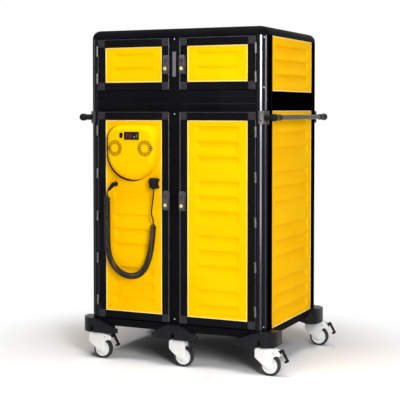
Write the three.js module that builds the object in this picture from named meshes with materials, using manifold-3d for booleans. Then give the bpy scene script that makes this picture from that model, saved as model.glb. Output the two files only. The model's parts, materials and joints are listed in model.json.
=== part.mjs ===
// Enclosed meal tray cart: a tall two-column cabinet on six swivel casters.
// Four insulated doors close two lower and two upper compartments with tray
// ledges. A thermal unit with a curly mains cord sits on the lower left door.
//
// Units are millimetres. +Z is up, the doors face -Y and +X is to the right of
// someone facing the doors. The origin is on the floor under the middle of the
// cabinet.

import * as THREE from 'three';
import { mergeVertices } from 'three/addons/utils/BufferGeometryUtils.js';
import Module from 'manifold-3d';

const wasm = await Module();
wasm.setup();

// ---------------------------------------------------------------- dimensions

// Cabinet
const bodyWidth = 950;
const bodyDepth = 764;
const bodyBottom = 170;
const bodyTop = 1653.5;
const cornerRadius = 47.5;
const cornerSteps = 6;
const baseTop = 206;
const roofBottom = 1610.3;
const roofEdgeRadius = 40;
const sideX = bodyWidth / 2;
const frontY = bodyDepth / 2;
const gap = 0.3;

// Posts and belt rails
const postFront = 47.5;
const postSide = 91.7;
const postInner = 65;
const rebate = 40.5;
const stopDepth = 20;
const centrePostHalf = 26.5;
const beltLow = 1253;
const beltHigh = 1346;
const railThickness = 30;

// Panels
const panelThickness = 33;
const panelRecess = 3;
const ribDepth = 7;
const ribHeight = 44;
const ribMargin = 40;
const sidePanelHalf = 290;

// Doors: the same width twice, two heights
const doorInnerX = 28.5;
const doorOuterX = 425.5;
const doorThickness = 38;
const windowInnerX = 68;
const windowOuterX = 384;
const lowerDoor = { bottom: 212.5, top: 1248, windowBottom: 247.5, windowTop: 1206 };
const upperDoor = { bottom: 1354, top: 1607, windowBottom: 1391, windowTop: 1566 };
const hingeX = 426.5;
const hingeOut = 5.2;
const knuckleRadius = 4.6;
const knuckleLength = 24.6;

// Inside: divider, shelf and tray ledges
const dividerHalf = 12;
const rackPlateX = 430;
const rackPlateThickness = 12;
const ledgeReach = 35;
const ledgeThickness = 4;
const ledgeFirst = 341;
const ledgePitch = 135;
const ledgeCount = 7;
const upperLedge = 1462;
const shelfLow = 1286;
const shelfHigh = 1314;
const insideFront = 320.5;
const insideBack = 341;
const rackHalfDepth = 289.5;

// Push handles
const handleX = 515;
const handleZ = 1220;
const handleEnd = 393;
const handleBarRadius = 11.5;
const handleCollarRadius = 14.5;
const handleKnobRadius = 18;
const saddleHeight = 63;
const saddleThickness = 8;

// Casters
const casterX = 452;
const casterY = 367;
const trail = 45;
const wheelRadius = 50;
const wheelHalf = 16;
const forkHalf = 23;
const forkInner = 18;
const axleRadius = 5.5;
const boreRadius = 6;
const kingpinRadius = 7;
const kingpinTop = 163;

// Bumpers
const bumperBottom = 134;
const bumperTop = 206;

// Thermal unit on the lower left door
const unitX = -218.5;
const unitZ = 1050.5;
const unitRadius = 140.5;
const unitTop = 1182;
const unitCorner = 70;
const unitDepth = 57;
const unitWall = 3.5;
const ventOffset = 83;
const ventZ = 1068;
const ventRadius = 41;
const ventSlotCount = 12;

// Mains cord
const wireRadius = 3.65;
const curlRadius = 12.6;
const curlCount = 84;
const cordY = -407;

// ----------------------------------------------------------------- materials

const material = (color, roughness, metalness = 0) =>
  new THREE.MeshStandardMaterial({ color, roughness, metalness });

const blackFrame = () => material(0x17171a, 0.45);
const yellowPanel = () => material(0xffc907, 0.4);
const greyPlastic = () => material(0x77727a, 0.45);
const blackPlastic = () => material(0x1d1d20, 0.55);
const whiteNylon = () => material(0xf0f0ec, 0.4);
const darkRubber = () => material(0x3f3f44, 0.75);
const innerLiner = () => material(0xb9bcc0, 0.5);
const blackCable = () => material(0x141416, 0.5);

// ---------------------------------------------------------- geometry helpers

// A closed geometry as a solid that can be joined and cut.
function toSolid(geometry) {
  const bare = geometry.clone();
  bare.deleteAttribute('normal');
  bare.deleteAttribute('uv');
  const merged = mergeVertices(bare, 1e-3);
  return new wasm.Manifold(new wasm.Mesh({
    numProp: 3,
    vertProperties: new Float32Array(merged.attributes.position.array),
    triVerts: new Uint32Array(merged.index.array),
  }));
}

// A solid back as a geometry with its own normals.
function toGeometry(solid) {
  const mesh = solid.getMesh();
  const geometry = new THREE.BufferGeometry();
  geometry.setAttribute('position', new THREE.BufferAttribute(mesh.vertProperties, 3));
  geometry.setIndex(new THREE.BufferAttribute(mesh.triVerts, 1));
  geometry.computeVertexNormals();
  return geometry;
}

// Joins every geometry of a list into one.
function join(geometries) {
  return toGeometry(geometries.map(toSolid).reduce((whole, piece) => whole.add(piece)));
}

// Cuts every geometry of a list out of the first one.
function cut(geometry, cutters) {
  return toGeometry(cutters.map(toSolid).reduce((whole, piece) => whole.subtract(piece), toSolid(geometry)));
}

// Keeps what several geometries share.
function common(geometries) {
  return toGeometry(geometries.map(toSolid).reduce((whole, piece) => whole.intersect(piece)));
}

// An axis-aligned block between two corners.
function block(x0, x1, y0, y1, z0, z1) {
  const geometry = new THREE.BoxGeometry(Math.abs(x1 - x0), Math.abs(y1 - y0), Math.abs(z1 - z0));
  geometry.translate((x0 + x1) / 2, (y0 + y1) / 2, (z0 + z1) / 2);
  return geometry;
}

// Directions for an outline: x right and y up on paper, then the way it is drawn out.
const papers = {
  plan: [new THREE.Vector3(1, 0, 0), new THREE.Vector3(0, 1, 0), new THREE.Vector3(0, 0, 1)],
  front: [new THREE.Vector3(1, 0, 0), new THREE.Vector3(0, 0, 1), new THREE.Vector3(0, -1, 0)],
  side: [new THREE.Vector3(0, 1, 0), new THREE.Vector3(0, 0, 1), new THREE.Vector3(1, 0, 0)],
};

// An outline drawn out between two places along the paper's normal. Outline and
// holes may be listed either way round.
function prism(points, from, to, paper = 'plan', holes = []) {
  const counterClockwise = (list) => {
    const vectors = list.map(([a, b]) => new THREE.Vector2(a, b));
    return THREE.ShapeUtils.isClockWise(vectors) ? vectors.reverse() : vectors;
  };
  const shape = new THREE.Shape(counterClockwise(points));
  shape.holes = holes.map((hole) => new THREE.Path(counterClockwise(hole)));
  const geometry = new THREE.ExtrudeGeometry(shape, { depth: to - from, bevelEnabled: false });
  geometry.translate(0, 0, from);
  const turn = new THREE.Matrix4().makeBasis(...papers[paper]);
  geometry.applyMatrix4(turn);
  return geometry;
}

// Points on an arc, angles in degrees.
function arc(cx, cy, radius, start, end, steps) {
  return Array.from({ length: steps + 1 }, (_, i) => {
    const angle = THREE.MathUtils.degToRad(start + (end - start) * i / steps);
    return [cx + radius * Math.cos(angle), cy + radius * Math.sin(angle)];
  });
}

// A rectangle with round corners, counter-clockwise.
function roundedRectangle(halfWidth, halfHeight, radius, steps) {
  const x = halfWidth - radius;
  const y = halfHeight - radius;
  return [
    ...arc(x, y, radius, 0, 90, steps),
    ...arc(-x, y, radius, 90, 180, steps),
    ...arc(-x, -y, radius, 180, 270, steps),
    ...arc(x, -y, radius, 270, 360, steps),
  ];
}

// A round bar between two points.
function rod(start, end, radius, sides, endRadius = radius) {
  const from = new THREE.Vector3(...start);
  const to = new THREE.Vector3(...end);
  const length = from.distanceTo(to);
  const geometry = new THREE.CylinderGeometry(endRadius, radius, length, sides);
  geometry.translate(0, length / 2, 0);
  const direction = to.clone().sub(from).normalize();
  geometry.applyQuaternion(new THREE.Quaternion().setFromUnitVectors(new THREE.Vector3(0, 1, 0), direction));
  geometry.translate(...start);
  return geometry;
}

// A skin over rings of equal point counts, closed by a flat face at each end.
function skin(rings) {
  const count = rings[0].length;
  const positions = rings.flat().flatMap((p) => [p.x, p.y, p.z]);
  const index = [];
  for (let r = 0; r + 1 < rings.length; r += 1) {
    for (let i = 0; i < count; i += 1) {
      const a = r * count + i;
      const b = r * count + (i + 1) % count;
      index.push(a, b, b + count, a, b + count, a + count);
    }
  }
  const last = (rings.length - 1) * count;
  for (let i = 1; i + 1 < count; i += 1) {
    index.push(0, i + 1, i);
    index.push(last, last + i, last + i + 1);
  }
  const geometry = new THREE.BufferGeometry();
  geometry.setAttribute('position', new THREE.Float32BufferAttribute(positions, 3));
  geometry.setIndex(index);
  geometry.computeVertexNormals();
  return geometry;
}

// A profile of [radius, height] turned about the Y axis.
function turned(profile, segments, startAngle = 0) {
  const points = profile.map(([r, y]) => new THREE.Vector2(r, y));
  return new THREE.LatheGeometry(points, segments, startAngle);
}

const cart = new THREE.Group();

// Adds one named piece to a group.
function add(parent, name, geometry, look, position = [0, 0, 0], turn = 0) {
  const mesh = new THREE.Mesh(geometry, look);
  mesh.name = name;
  mesh.position.set(...position);
  mesh.rotation.z = turn;
  parent.add(mesh);
  return mesh;
}

// -------------------------------------------------------------- base and roof

// Moulded insulated floor slab with the cabinet's round corners.
const planOutline = roundedRectangle(sideX, frontY, cornerRadius, cornerSteps);
add(cart, 'base_frame', prism(planOutline, bodyBottom, baseTop), blackFrame());

// Moulded roof: its upper edges roll over all round.
const roofSteps = [0, 18, 36, 54, 72, 90].map((degrees) => THREE.MathUtils.degToRad(degrees));
const roofRings = [
  [0, roofBottom],
  ...roofSteps.map((angle) => [
    roofEdgeRadius * (1 - Math.cos(angle)),
    bodyTop - roofEdgeRadius * (1 - Math.sin(angle)),
  ]),
].map(([inset, z]) =>
  roundedRectangle(sideX - inset, frontY - inset, cornerRadius - inset, cornerSteps)
    .map(([x, y]) => new THREE.Vector3(x, y, z)));
add(cart, 'roof', skin(roofRings), blackFrame());

// --------------------------------------------------------------- body frames

const postBottom = baseTop + gap;
const postTop = roofBottom - gap;

// Heights of the hinges on one door.
const hingeHeights = {
  lower: [300, 512, 725, 939, 1153],
  upper: [1413, 1548],
};

// One half of a hinge: a short knuckle with a leaf back to what it is fixed to.
function knuckle(sign, z0, leafTo) {
  const y = -frontY - hingeOut;
  return join([
    rod([sign * hingeX, y, z0], [sign * hingeX, y, z0 + knuckleLength], knuckleRadius, 10),
    block(sign * hingeX, sign * leafTo, y - 1, -frontY + 1, z0, z0 + knuckleLength),
  ]);
}

// Plan of a corner post: round outside, with a rebate for the door or back panel.
function postPlan(signX, signY) {
  const outer = arc(sideX - cornerRadius, frontY - cornerRadius, cornerRadius, 90, 0, cornerSteps);
  const inner = [
    [sideX, frontY - postSide],
    [sideX - postInner, frontY - postSide],
    [sideX - postInner, frontY - rebate],
    [sideX - postFront, frontY - rebate],
  ];
  return [...outer, ...inner].map(([x, y]) => [signX * x, signY * y]);
}

// Two posts of one end wall with the belt rail welded between them.
function endFrame(sign) {
  const posts = [-1, 1].map((signY) => prism(postPlan(sign, signY), postBottom, postTop));
  const reach = frontY - postSide + 5;
  const rail = block(sign * (sideX - railThickness), sign * sideX, -reach, reach, beltLow + gap, beltHigh - gap);
  const knuckles = [...hingeHeights.lower, ...hingeHeights.upper]
    .map((z) => knuckle(sign, z - knuckleLength - 0.2, hingeX + 8));
  return join([...posts, rail, ...knuckles]);
}
add(cart, 'frame_left', endFrame(-1), blackFrame());
add(cart, 'frame_right', endFrame(1), blackFrame());

// Centre post and belt of the door side, with the stops the doors close on.
const stopFront = -frontY + rebate;
const openHalf = sideX - postFront - gap;
const stopHalf = sideX - postInner - gap;
add(cart, 'front_grid', join([
  block(-centrePostHalf, centrePostHalf, -frontY + 2, stopFront, postBottom, postTop),
  block(-centrePostHalf - 17, centrePostHalf + 17, stopFront - 0.5, stopFront + stopDepth, postBottom, postTop),
  block(-openHalf, openHalf, -frontY, stopFront, lowerDoor.top + 3, upperDoor.bottom - 3),
  block(-openHalf, openHalf, -frontY - 3, -frontY + 1, 1263, 1284),
  block(-stopHalf, stopHalf, stopFront - 0.5, stopFront + stopDepth, lowerDoor.top - 14, upperDoor.bottom + 14),
]), blackFrame());

// Belt rail of the back wall.
add(cart, 'back_rail', block(
  -openHalf, openHalf, frontY - railThickness, frontY, beltLow + gap, beltHigh - gap,
), blackFrame());

// -------------------------------------------------------------------- panels

// A yellow wall panel: its outer face looks along -Y at y = 0 and stands on z = 0.
// Each rib is a pocket that steps in sharply at its top and runs out below.
function panel(width, height, thickness, ribs) {
  const half = width / 2;
  const slab = block(-half, half, 0, thickness, 0, height);
  const pockets = ribs.map((z) => prism([
    [-1, z + 0.5],
    [ribDepth, z - 4],
    [-1, z - ribHeight - 6],
  ], -half + ribMargin, half - ribMargin, 'side'));
  return pockets.length ? cut(slab, pockets) : slab;
}

// Ribs stand in threes: a wide step between groups, a narrow one within a group.
function ribGroups(first, groups, pitch = 73, groupPitch = 264) {
  return groups.flatMap((count, group) =>
    Array.from({ length: count }, (_, i) => first - group * groupPitch - i * pitch));
}

const lowerPanelBottom = baseTop + gap;
const upperPanelBottom = beltHigh;
const lowerPanelHeight = beltLow - lowerPanelBottom;
const upperPanelHeight = roofBottom - gap - upperPanelBottom;
const sideLowerRibs = ribGroups(1220, [3, 3, 3, 3]).map((z) => z - lowerPanelBottom);
const sideUpperRibs = [1567, 1497, 1427].map((z) => z - upperPanelBottom);
const quarter = Math.PI / 2;

for (const [side, sign] of [['left', -1], ['right', 1]]) {
  const x = sign * (sideX - panelRecess);
  add(cart, `side_panel_${side}_lower`, panel(2 * sidePanelHalf, lowerPanelHeight, railThickness, sideLowerRibs),
    yellowPanel(), [x, 0, lowerPanelBottom], sign * quarter);
  add(cart, `side_panel_${side}_upper`, panel(2 * sidePanelHalf, upperPanelHeight, railThickness, sideUpperRibs),
    yellowPanel(), [x, 0, upperPanelBottom], sign * quarter);
}

const backY = frontY - panelRecess;
add(cart, 'back_panel_lower', panel(2 * openHalf, lowerPanelHeight, panelThickness, sideLowerRibs),
  yellowPanel(), [0, backY, lowerPanelBottom], Math.PI);
add(cart, 'back_panel_upper', panel(2 * openHalf, upperPanelHeight, panelThickness, sideUpperRibs),
  yellowPanel(), [0, backY, upperPanelBottom], Math.PI);

// -------------------------------------------------------------------- inside

// Heights of the tray ledges.
const ledges = [
  ...Array.from({ length: ledgeCount }, (_, i) => ledgeFirst + i * ledgePitch),
  upperLedge,
];

// Ledges that stand out of a plate from x0 to x1.
function ledgeBlocks(x0, x1) {
  return ledges.map((z) => block(x0, x1, -rackHalfDepth, rackHalfDepth, z, z + ledgeThickness));
}

// Divider between the two columns, joined to the shelf between lower and upper
// compartments, with ledges on both faces.
add(cart, 'inner_divider', join([
  block(-dividerHalf, dividerHalf, -insideFront, insideBack, postBottom, postTop),
  block(-rackPlateX + gap, rackPlateX - gap, -rackHalfDepth, rackHalfDepth, shelfLow, shelfHigh),
  ...ledgeBlocks(-dividerHalf - ledgeReach, dividerHalf + ledgeReach),
]), innerLiner());

// Ledge racks on the end walls.
for (const [side, sign] of [['left', -1], ['right', 1]]) {
  add(cart, `rack_${side}`, join([
    block(sign * rackPlateX, sign * (rackPlateX + rackPlateThickness), -rackHalfDepth, rackHalfDepth,
      postBottom, postTop),
    ...ledgeBlocks(sign * (rackPlateX - ledgeReach), sign * (rackPlateX + 2)),
  ]), innerLiner());
}

// --------------------------------------------------------------------- doors

const doorRibs = {
  lower_left: [850, 737, 664, 590, 471, 398, 325],
  lower_right: ribGroups(1177, [3, 3, 3, 2]),
  upper_left: [1534, 1465],
  upper_right: [1534, 1465],
};

// Ring of stiles and rails round a panel, with the door halves of its hinges.
function doorFrame(sign, level, size) {
  const outline = [
    [doorInnerX, size.bottom], [doorOuterX, size.bottom],
    [doorOuterX, size.top], [doorInnerX, size.top],
  ];
  const opening = [
    [windowInnerX, size.windowBottom], [windowOuterX, size.windowBottom],
    [windowOuterX, size.windowTop], [windowInnerX, size.windowTop],
  ];
  const mirror = (points) => points.map(([x, z]) => [sign * x, z]);
  const ring = prism(mirror(outline), frontY - doorThickness, frontY, 'front', [mirror(opening)]);
  const knuckles = hingeHeights[level].map((z) => knuckle(sign, z + 0.2, hingeX - 8));
  return join([ring, ...knuckles]);
}

// Pull latch: a flat lever hinged at its top, with the lock's round boss low on it.
const latchWidth = 27;
const latchThickness = 13;
function latch(height) {
  const half = latchWidth / 2;
  const side = [
    [0, 0], [0, height], [-7, height], [-latchThickness, height - 12],
    [-latchThickness, 10], [-9, 0],
  ];
  const lever = prism(side, -half, half, 'side');
  const boss = rod([0, -latchThickness + 1, 20], [0, -latchThickness - 2, 20], 6.5, 12);
  return join([lever, boss]);
}
const latchPlaces = {
  lower: { bottom: 768, height: 92 },
  upper: { bottom: 1435, height: 87 },
};
const latchX = 43.5;

for (const [level, size] of [['lower', lowerDoor], ['upper', upperDoor]]) {
  for (const [side, sign] of [['left', -1], ['right', 1]]) {
    const key = `${level}_${side}`;
    const door = new THREE.Group();
    cart.add(door);
    add(door, `door_frame_${key}`, doorFrame(sign, level, size), blackFrame());
    const width = windowOuterX - windowInnerX - 2 * gap;
    const height = size.windowTop - size.windowBottom - 2 * gap;
    const bottom = size.windowBottom + gap;
    const centre = sign * (windowInnerX + windowOuterX) / 2;
    add(door, `door_panel_${key}`, panel(width, height, panelThickness, doorRibs[key].map((z) => z - bottom)),
      yellowPanel(), [centre, -frontY + panelRecess, bottom]);
    const place = latchPlaces[level];
    add(door, `latch_${key}`, latch(place.height), greyPlastic(), [sign * latchX, -frontY - gap, place.bottom]);
  }
}

// -------------------------------------------------------------- push handles

// Bar along the end wall on two moulded ends, each saddled on a corner post.
function pushHandle(sign) {
  const profile = [
    [0, -handleEnd], [10, -handleEnd + 2], [handleKnobRadius, -handleEnd + 12],
    [handleKnobRadius, -handleEnd + 30], [handleCollarRadius, -handleEnd + 48],
    [handleCollarRadius, -handleEnd + 100], [handleBarRadius, -handleEnd + 104],
  ];
  const mirrored = profile.map(([r, y]) => [r, -y]).reverse();
  const bar = turned([...profile, ...mirrored], 12);
  bar.translate(sign * handleX, 0, handleZ);
  const pieces = [bar];
  const centreX = sideX - cornerRadius;
  const centreY = frontY - cornerRadius;
  for (const signY of [-1, 1]) {
    const inner = arc(centreX, centreY, cornerRadius - 5, 15, 75, cornerSteps - 2);
    const outer = arc(centreX, centreY, cornerRadius + gap + saddleThickness, 75, 15, cornerSteps - 2);
    const saddle = [...inner, ...outer].map(([x, y]) => [sign * x, signY * y]);
    pieces.push(prism(saddle, handleZ - saddleHeight / 2, handleZ + saddleHeight / 2));
    const root = arc(centreX, centreY, cornerRadius - 12, 40, 40, 1)[0];
    pieces.push(rod([sign * root[0], signY * root[1], handleZ],
      [sign * handleX, signY * (handleEnd - 18), handleZ], 13, 10, 11));
  }
  const cabinet = roundedRectangle(sideX + gap, frontY + gap, cornerRadius + gap, cornerSteps);
  return cut(join(pieces), [prism(cabinet, handleZ - saddleHeight, handleZ + saddleHeight)]);
}
add(cart, 'handle_left', pushHandle(-1), blackPlastic());
add(cart, 'handle_right', pushHandle(1), blackPlastic());

// ------------------------------------------------------------------- bumpers

// Clear slot in front of a kingpin, and the hole it turns in.
function kingpinCutters(x, y, signY) {
  return [
    rod([x, y, bumperBottom - 5], [x, y, kingpinTop + 3], kingpinRadius + 3, 12),
    block(x - 9, x + 9, y, y + signY * 70, bumperBottom - 5, kingpinTop + 3),
  ];
}

// Corner bumper: an L in plan, highest at the corner and running down to both
// ends, with a pad under the cabinet that the caster is fixed to.
function cornerBumper(signX, signY) {
  const outer = [
    [316, 382.3], [330, 396], [352, 404], [430, 408],
    ...arc(453, 338, 70, 90, 0, 6),
    [523, 285], [513, 252], [496, 236], [475.3, 230],
  ];
  const body = arc(sideX - cornerRadius, frontY - cornerRadius, cornerRadius + gap, 0, 90, cornerSteps);
  const place = (points) => points.map(([x, y]) => [signX * x, signY * y]);
  const mirrorX = (points) => points.map(([x, z]) => [signX * x, z]);
  const mirrorY = (points) => points.map(([y, z]) => [signY * y, z]);
  const ring = prism(place([...outer, ...body]), bumperBottom, bumperTop);
  const frontView = prism(mirrorX([
    [300, bumperBottom], [540, bumperBottom], [540, bumperTop],
    [455, bumperTop], [404, 191], [300, 150],
  ]), -500, 500, 'front');
  const sideView = prism(mirrorY([
    [220, bumperBottom], [420, bumperBottom], [420, bumperTop], [310, bumperTop], [220, 176],
  ]), -600, 600, 'side');
  const pad = prism(place([
    [330, 383], [380, 383], [476, 383], [476, 232], [440, 262], [385, 310],
  ]), bumperBottom, bodyBottom - gap);
  const whole = join([common([ring, frontView, sideView]), pad]);
  return cut(whole, kingpinCutters(signX * casterX, signY * casterY, signY));
}

// Bumper over the middle caster of the front or back: a low wing.
function centreBumper(signY) {
  const outer = [[-127, 382.3], [-102, 397], [-60, 410], [60, 410], [102, 397], [127, 382.3]];
  const place = (points) => points.map(([x, y]) => [x, signY * y]);
  const wing = prism(place(outer), bumperBottom, bumperTop);
  const frontView = prism([
    [-140, bumperBottom], [140, bumperBottom], [127, 156], [100, 166], [72, 186],
    [34, 203], [-34, 203], [-72, 186], [-100, 166], [-127, 156],
  ], -500, 500, 'front');
  const pad = prism(place([[-110, 383], [110, 383], [80, 300], [-80, 300]]), bumperBottom, bodyBottom - gap);
  const whole = join([common([wing, frontView]), pad]);
  return cut(whole, kingpinCutters(0, signY * casterY, signY));
}

for (const [end, signY] of [['front', -1], ['back', 1]]) {
  for (const [side, signX] of [['left', -1], ['right', 1]]) {
    add(cart, `bumper_${end}_${side}`, cornerBumper(signX, signY), darkRubber());
  }
  add(cart, `bumper_${end}_centre`, centreBumper(signY), darkRubber());
}

// ------------------------------------------------------------------- casters

// Side view of a fork, measured from its swivel axis. The braked one has a beak
// over the wheel that carries the pedal.
const forkLeg = [[-29, 84], [10, 52], [30, 37], [45, 33], [58, 40], [62, 56], [58, 80]];
const forkHood = {
  braked: [[70, 95], [84, 98], [97, 96], [100, 102], [91, 121], [60, 131]],
  plain: [[58, 118], [50, 127]],
};
const forkCrown = [[-22, 131], [-29, 118]];

function fork(kind) {
  const side = [...forkLeg, ...forkHood[kind], ...forkCrown];
  const body = prism(side, -forkHalf, forkHalf, 'front');
  const wheelSpace = prism(arc(trail, wheelRadius, wheelRadius + 4, 0, 345, 23), -forkInner, forkInner, 'front');
  const hollow = cut(body, [wheelSpace]);
  const axle = rod([trail, -forkHalf, wheelRadius], [trail, forkHalf, wheelRadius], axleRadius, 12);
  const kingpin = rod([0, 0, 120], [0, 0, kingpinTop], kingpinRadius, 12);
  return join([hollow, axle, kingpin]);
}

// Wheel: tyre and hub in one, with a flat of the faceted tyre on the floor.
const wheelSides = 18;
function wheel() {
  const rim = wheelRadius / Math.cos(Math.PI / wheelSides);
  const profile = [
    [boreRadius, -wheelHalf], [18, -10], [40, -10], [42, -wheelHalf], [rim - 3, -wheelHalf], [rim, -10],
    [rim, 10], [rim - 3, wheelHalf], [42, wheelHalf], [40, 10], [18, 10], [boreRadius, wheelHalf],
    [boreRadius, -wheelHalf],
  ];
  return turned(profile, wheelSides, Math.PI / wheelSides);
}

// Brake pedal: two cheeks on the sides of the beak, where it pivots, and a lever
// across them with its tread at the foot.
function pedal() {
  const lever = [[104, 126], [110, 130], [136, 78], [133, 69], [123, 66], [120, 72], [106, 100], [104, 104]];
  const cheek = [[84, 106], [84, 119], [105, 127], [110, 120], [110, 102], [94, 102]];
  const inside = forkHalf + gap;
  const outside = inside + 3;
  return join([
    prism(lever, -outside, outside, 'front'),
    prism(cheek, -outside, -inside, 'front'),
    prism(cheek, inside, outside, 'front'),
  ]);
}

for (const [end, signY] of [['front', -1], ['back', 1]]) {
  for (const [side, signX] of [['left', -1], ['centre', 0], ['right', 1]]) {
    const caster = new THREE.Group();
    caster.position.set(signX * casterX, signY * casterY, 0);
    cart.add(caster);
    const key = `${end}_${side}`;
    const braked = signX !== 0;
    add(caster, `caster_fork_${key}`, fork(braked ? 'braked' : 'plain'), whiteNylon());
    add(caster, `caster_wheel_${key}`, wheel(), darkRubber(), [trail, 0, wheelRadius]);
    if (braked) {
      add(caster, `brake_pedal_${key}`, pedal(), blackPlastic());
    }
  }
}

// -------------------------------------------------------------- thermal unit

const panelFace = -frontY + panelRecess;

// One ring of the cover: a half circle below, round corners above.
function unitRing(inset, out) {
  const radius = unitRadius - inset;
  const corner = unitCorner - inset;
  const shoulder = unitTop - unitCorner;
  const points = [
    ...arc(unitX, unitZ, radius, 180, 360, 14),
    ...arc(unitX + unitRadius - unitCorner, shoulder, corner, 0, 90, 5),
    ...arc(unitX - unitRadius + unitCorner, shoulder, corner, 90, 180, 5),
  ];
  return points.map(([x, z]) => new THREE.Vector3(x, panelFace - gap - out, z));
}

// Insets and heights of the cover's shoulder, base to front.
const unitShoulder = [[0, 0], [3, 24], [9, 42], [18, 53], [30, unitDepth]];
const unitOuter = skin(unitShoulder.map(([inset, out]) => unitRing(inset, out)));
const unitInner = skin(unitShoulder.map(([inset, out], i) =>
  unitRing(inset + unitWall, i === 0 ? -1 : out - unitWall)));

// Radial slots of one round vent.
function ventSlots(x) {
  return Array.from({ length: ventSlotCount }, (_, i) => {
    const slot = block(-2.4, 2.4, -unitDepth - 15, -8, 16, ventRadius);
    slot.rotateY(i * 2 * Math.PI / ventSlotCount);
    slot.translate(x, panelFace, ventZ);
    return slot;
  });
}

// On/off button and the hole that it travels in.
const buttonX = -265.5;
const buttonZ = 1131.5;
const buttonTravel = 2.5;
function buttonOutline(grow) {
  const halfWidth = 8.5 + grow;
  const straight = 5;
  return [
    ...arc(buttonX, buttonZ + straight, halfWidth, 0, 180, 6),
    ...arc(buttonX, buttonZ - straight, halfWidth, 180, 360, 6),
  ];
}
const unitFront = frontY - panelRecess + gap + unitDepth;
const buttonHole = prism(buttonOutline(0.6), unitFront - 20, unitFront + 10, 'front');

add(cart, 'unit_cover', cut(unitOuter, [
  unitInner, ...ventSlots(unitX - ventOffset), ...ventSlots(unitX + ventOffset), buttonHole,
]), yellowPanel());
add(cart, 'display_window', block(-246, -167, -unitFront - gap - 3, -unitFront - gap, 1111, 1147.5), blackPlastic());
add(cart, 'power_button', prism(buttonOutline(0), unitFront - 8, unitFront + 4, 'front'), blackPlastic());

// Circulation fan behind the right vent: a hub with broad blades.
const fanY = panelFace - 30;
const fanX = unitX + ventOffset;
const fanBlades = Array.from({ length: 5 }, (_, i) => {
  const blade = block(-9, 9, -1.2, 1.2, 9, 33);
  blade.rotateZ(0.5);
  blade.rotateY(i * 2 * Math.PI / 5);
  return blade;
});
add(cart, 'fan_rotor', join([rod([0, -7, 0], [0, 7, 0], 12, 12), ...fanBlades]), blackPlastic(), [fanX, fanY, ventZ]);

// ---------------------------------------------------------------- mains cord

const onDoor = ([x, z]) => new THREE.Vector3(x, cordY, z);

// Strain relief: a foot on the door face and a nozzle that points down and left.
const glandExit = new THREE.Vector3(-352.5, cordY, 857);
const glandDirection = new THREE.Vector3(-0.66, 0, -0.75).normalize();
const glandStart = glandExit.clone().addScaledVector(glandDirection, -34);
add(cart, 'cord_gland', join([
  rod(glandStart.toArray(), glandExit.toArray(), 12, 12, 7.5),
  rod([-327, panelFace - gap, 886], [-327, cordY, 886], 13, 12, 11),
]), blackPlastic());

// Plug holder on the door and the plug hanging under it.
const plugX = -102;
const plugTop = 896;
add(cart, 'plug_dock', join([
  rod([plugX, cordY, plugTop + gap], [plugX, cordY, 924], 25, 14),
  block(plugX - 20, plugX + 20, cordY, panelFace - gap, 903, 920),
]), blackPlastic());
add(cart, 'mains_plug', join([
  rod([plugX, cordY, 876], [plugX, cordY, plugTop], 22, 14),
  rod([plugX, cordY, 868], [plugX, cordY, 877], 9, 14, 15),
]), blackPlastic());

// Axis of the curly cord: down the door's left stile, round a low bend and up.
const cordAxis = [
  glandExit.clone().addScaledVector(glandDirection, gap),
  glandExit.clone().addScaledVector(glandDirection, gap + 8),
  ...[
    [-360, 846], [-361.5, 832], [-361, 800], [-361, 700], [-360, 610], [-356, 556],
    [-342, 508], [-314, 468], [-279, 444], [-240, 433], [-205, 436], [-172, 452],
    [-147, 482], [-130, 522], [-118.5, 566], [-109.5, 630], [-104.5, 680], [-103.5, 708],
  ].map(onDoor),
];
const axisCurve = new THREE.CatmullRomCurve3(cordAxis, false, 'centripetal');
axisCurve.arcLengthDivisions = 2000;
const axisLength = axisCurve.getLength();
const leadLength = 28;
const endLength = 9;
const curlLength = axisLength - leadLength - endLength;
const curlPitch = curlLength / curlCount;

// Centre of the wire at a distance along the axis: straight, then curls that
// open and close over the first and last curl and a half, then straight.
function wireCentre(distance) {
  const share = THREE.MathUtils.clamp(distance / axisLength, 0, 1);
  const centre = axisCurve.getPointAt(share);
  const tangent = axisCurve.getTangentAt(share);
  const outward = new THREE.Vector3(0, -1, 0);
  const across = new THREE.Vector3().crossVectors(tangent, outward);
  const turns = (distance - leadLength) / curlPitch;
  const ramp = THREE.MathUtils.smoothstep(Math.min(turns, curlCount - turns), 0, 1.5);
  const angle = 2 * Math.PI * turns;
  return centre
    .addScaledVector(outward, ramp * curlRadius * Math.cos(angle))
    .addScaledVector(across, ramp * curlRadius * Math.sin(angle));
}

const leadStops = Array.from({ length: 7 }, (_, i) => leadLength * i / 6);
const curlStops = Array.from({ length: 8 * curlCount - 1 }, (_, i) => leadLength + curlPitch * (i + 1) / 8);
const endStops = [axisLength - endLength, axisLength];
const wirePoints = [...leadStops, ...curlStops, ...endStops].map(wireCentre);

// A tube over points, its section carried along without twist.
function tube(points, radius, sides) {
  const tangents = points.map((point, i) => {
    const before = points[Math.max(i - 1, 0)];
    const after = points[Math.min(i + 1, points.length - 1)];
    return after.clone().sub(before).normalize();
  });
  let normal = new THREE.Vector3(0, 1, 0);
  const rings = points.map((point, i) => {
    normal = normal.clone().addScaledVector(tangents[i], -normal.dot(tangents[i])).normalize();
    const binormal = new THREE.Vector3().crossVectors(tangents[i], normal);
    return Array.from({ length: sides }, (_, k) => {
      const angle = 2 * Math.PI * k / sides;
      return point.clone()
        .addScaledVector(normal, radius * Math.cos(angle))
        .addScaledVector(binormal, radius * Math.sin(angle));
    });
  });
  return skin(rings);
}
add(cart, 'cord_coil', tube(wirePoints, wireRadius, 5), blackCable());

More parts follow.
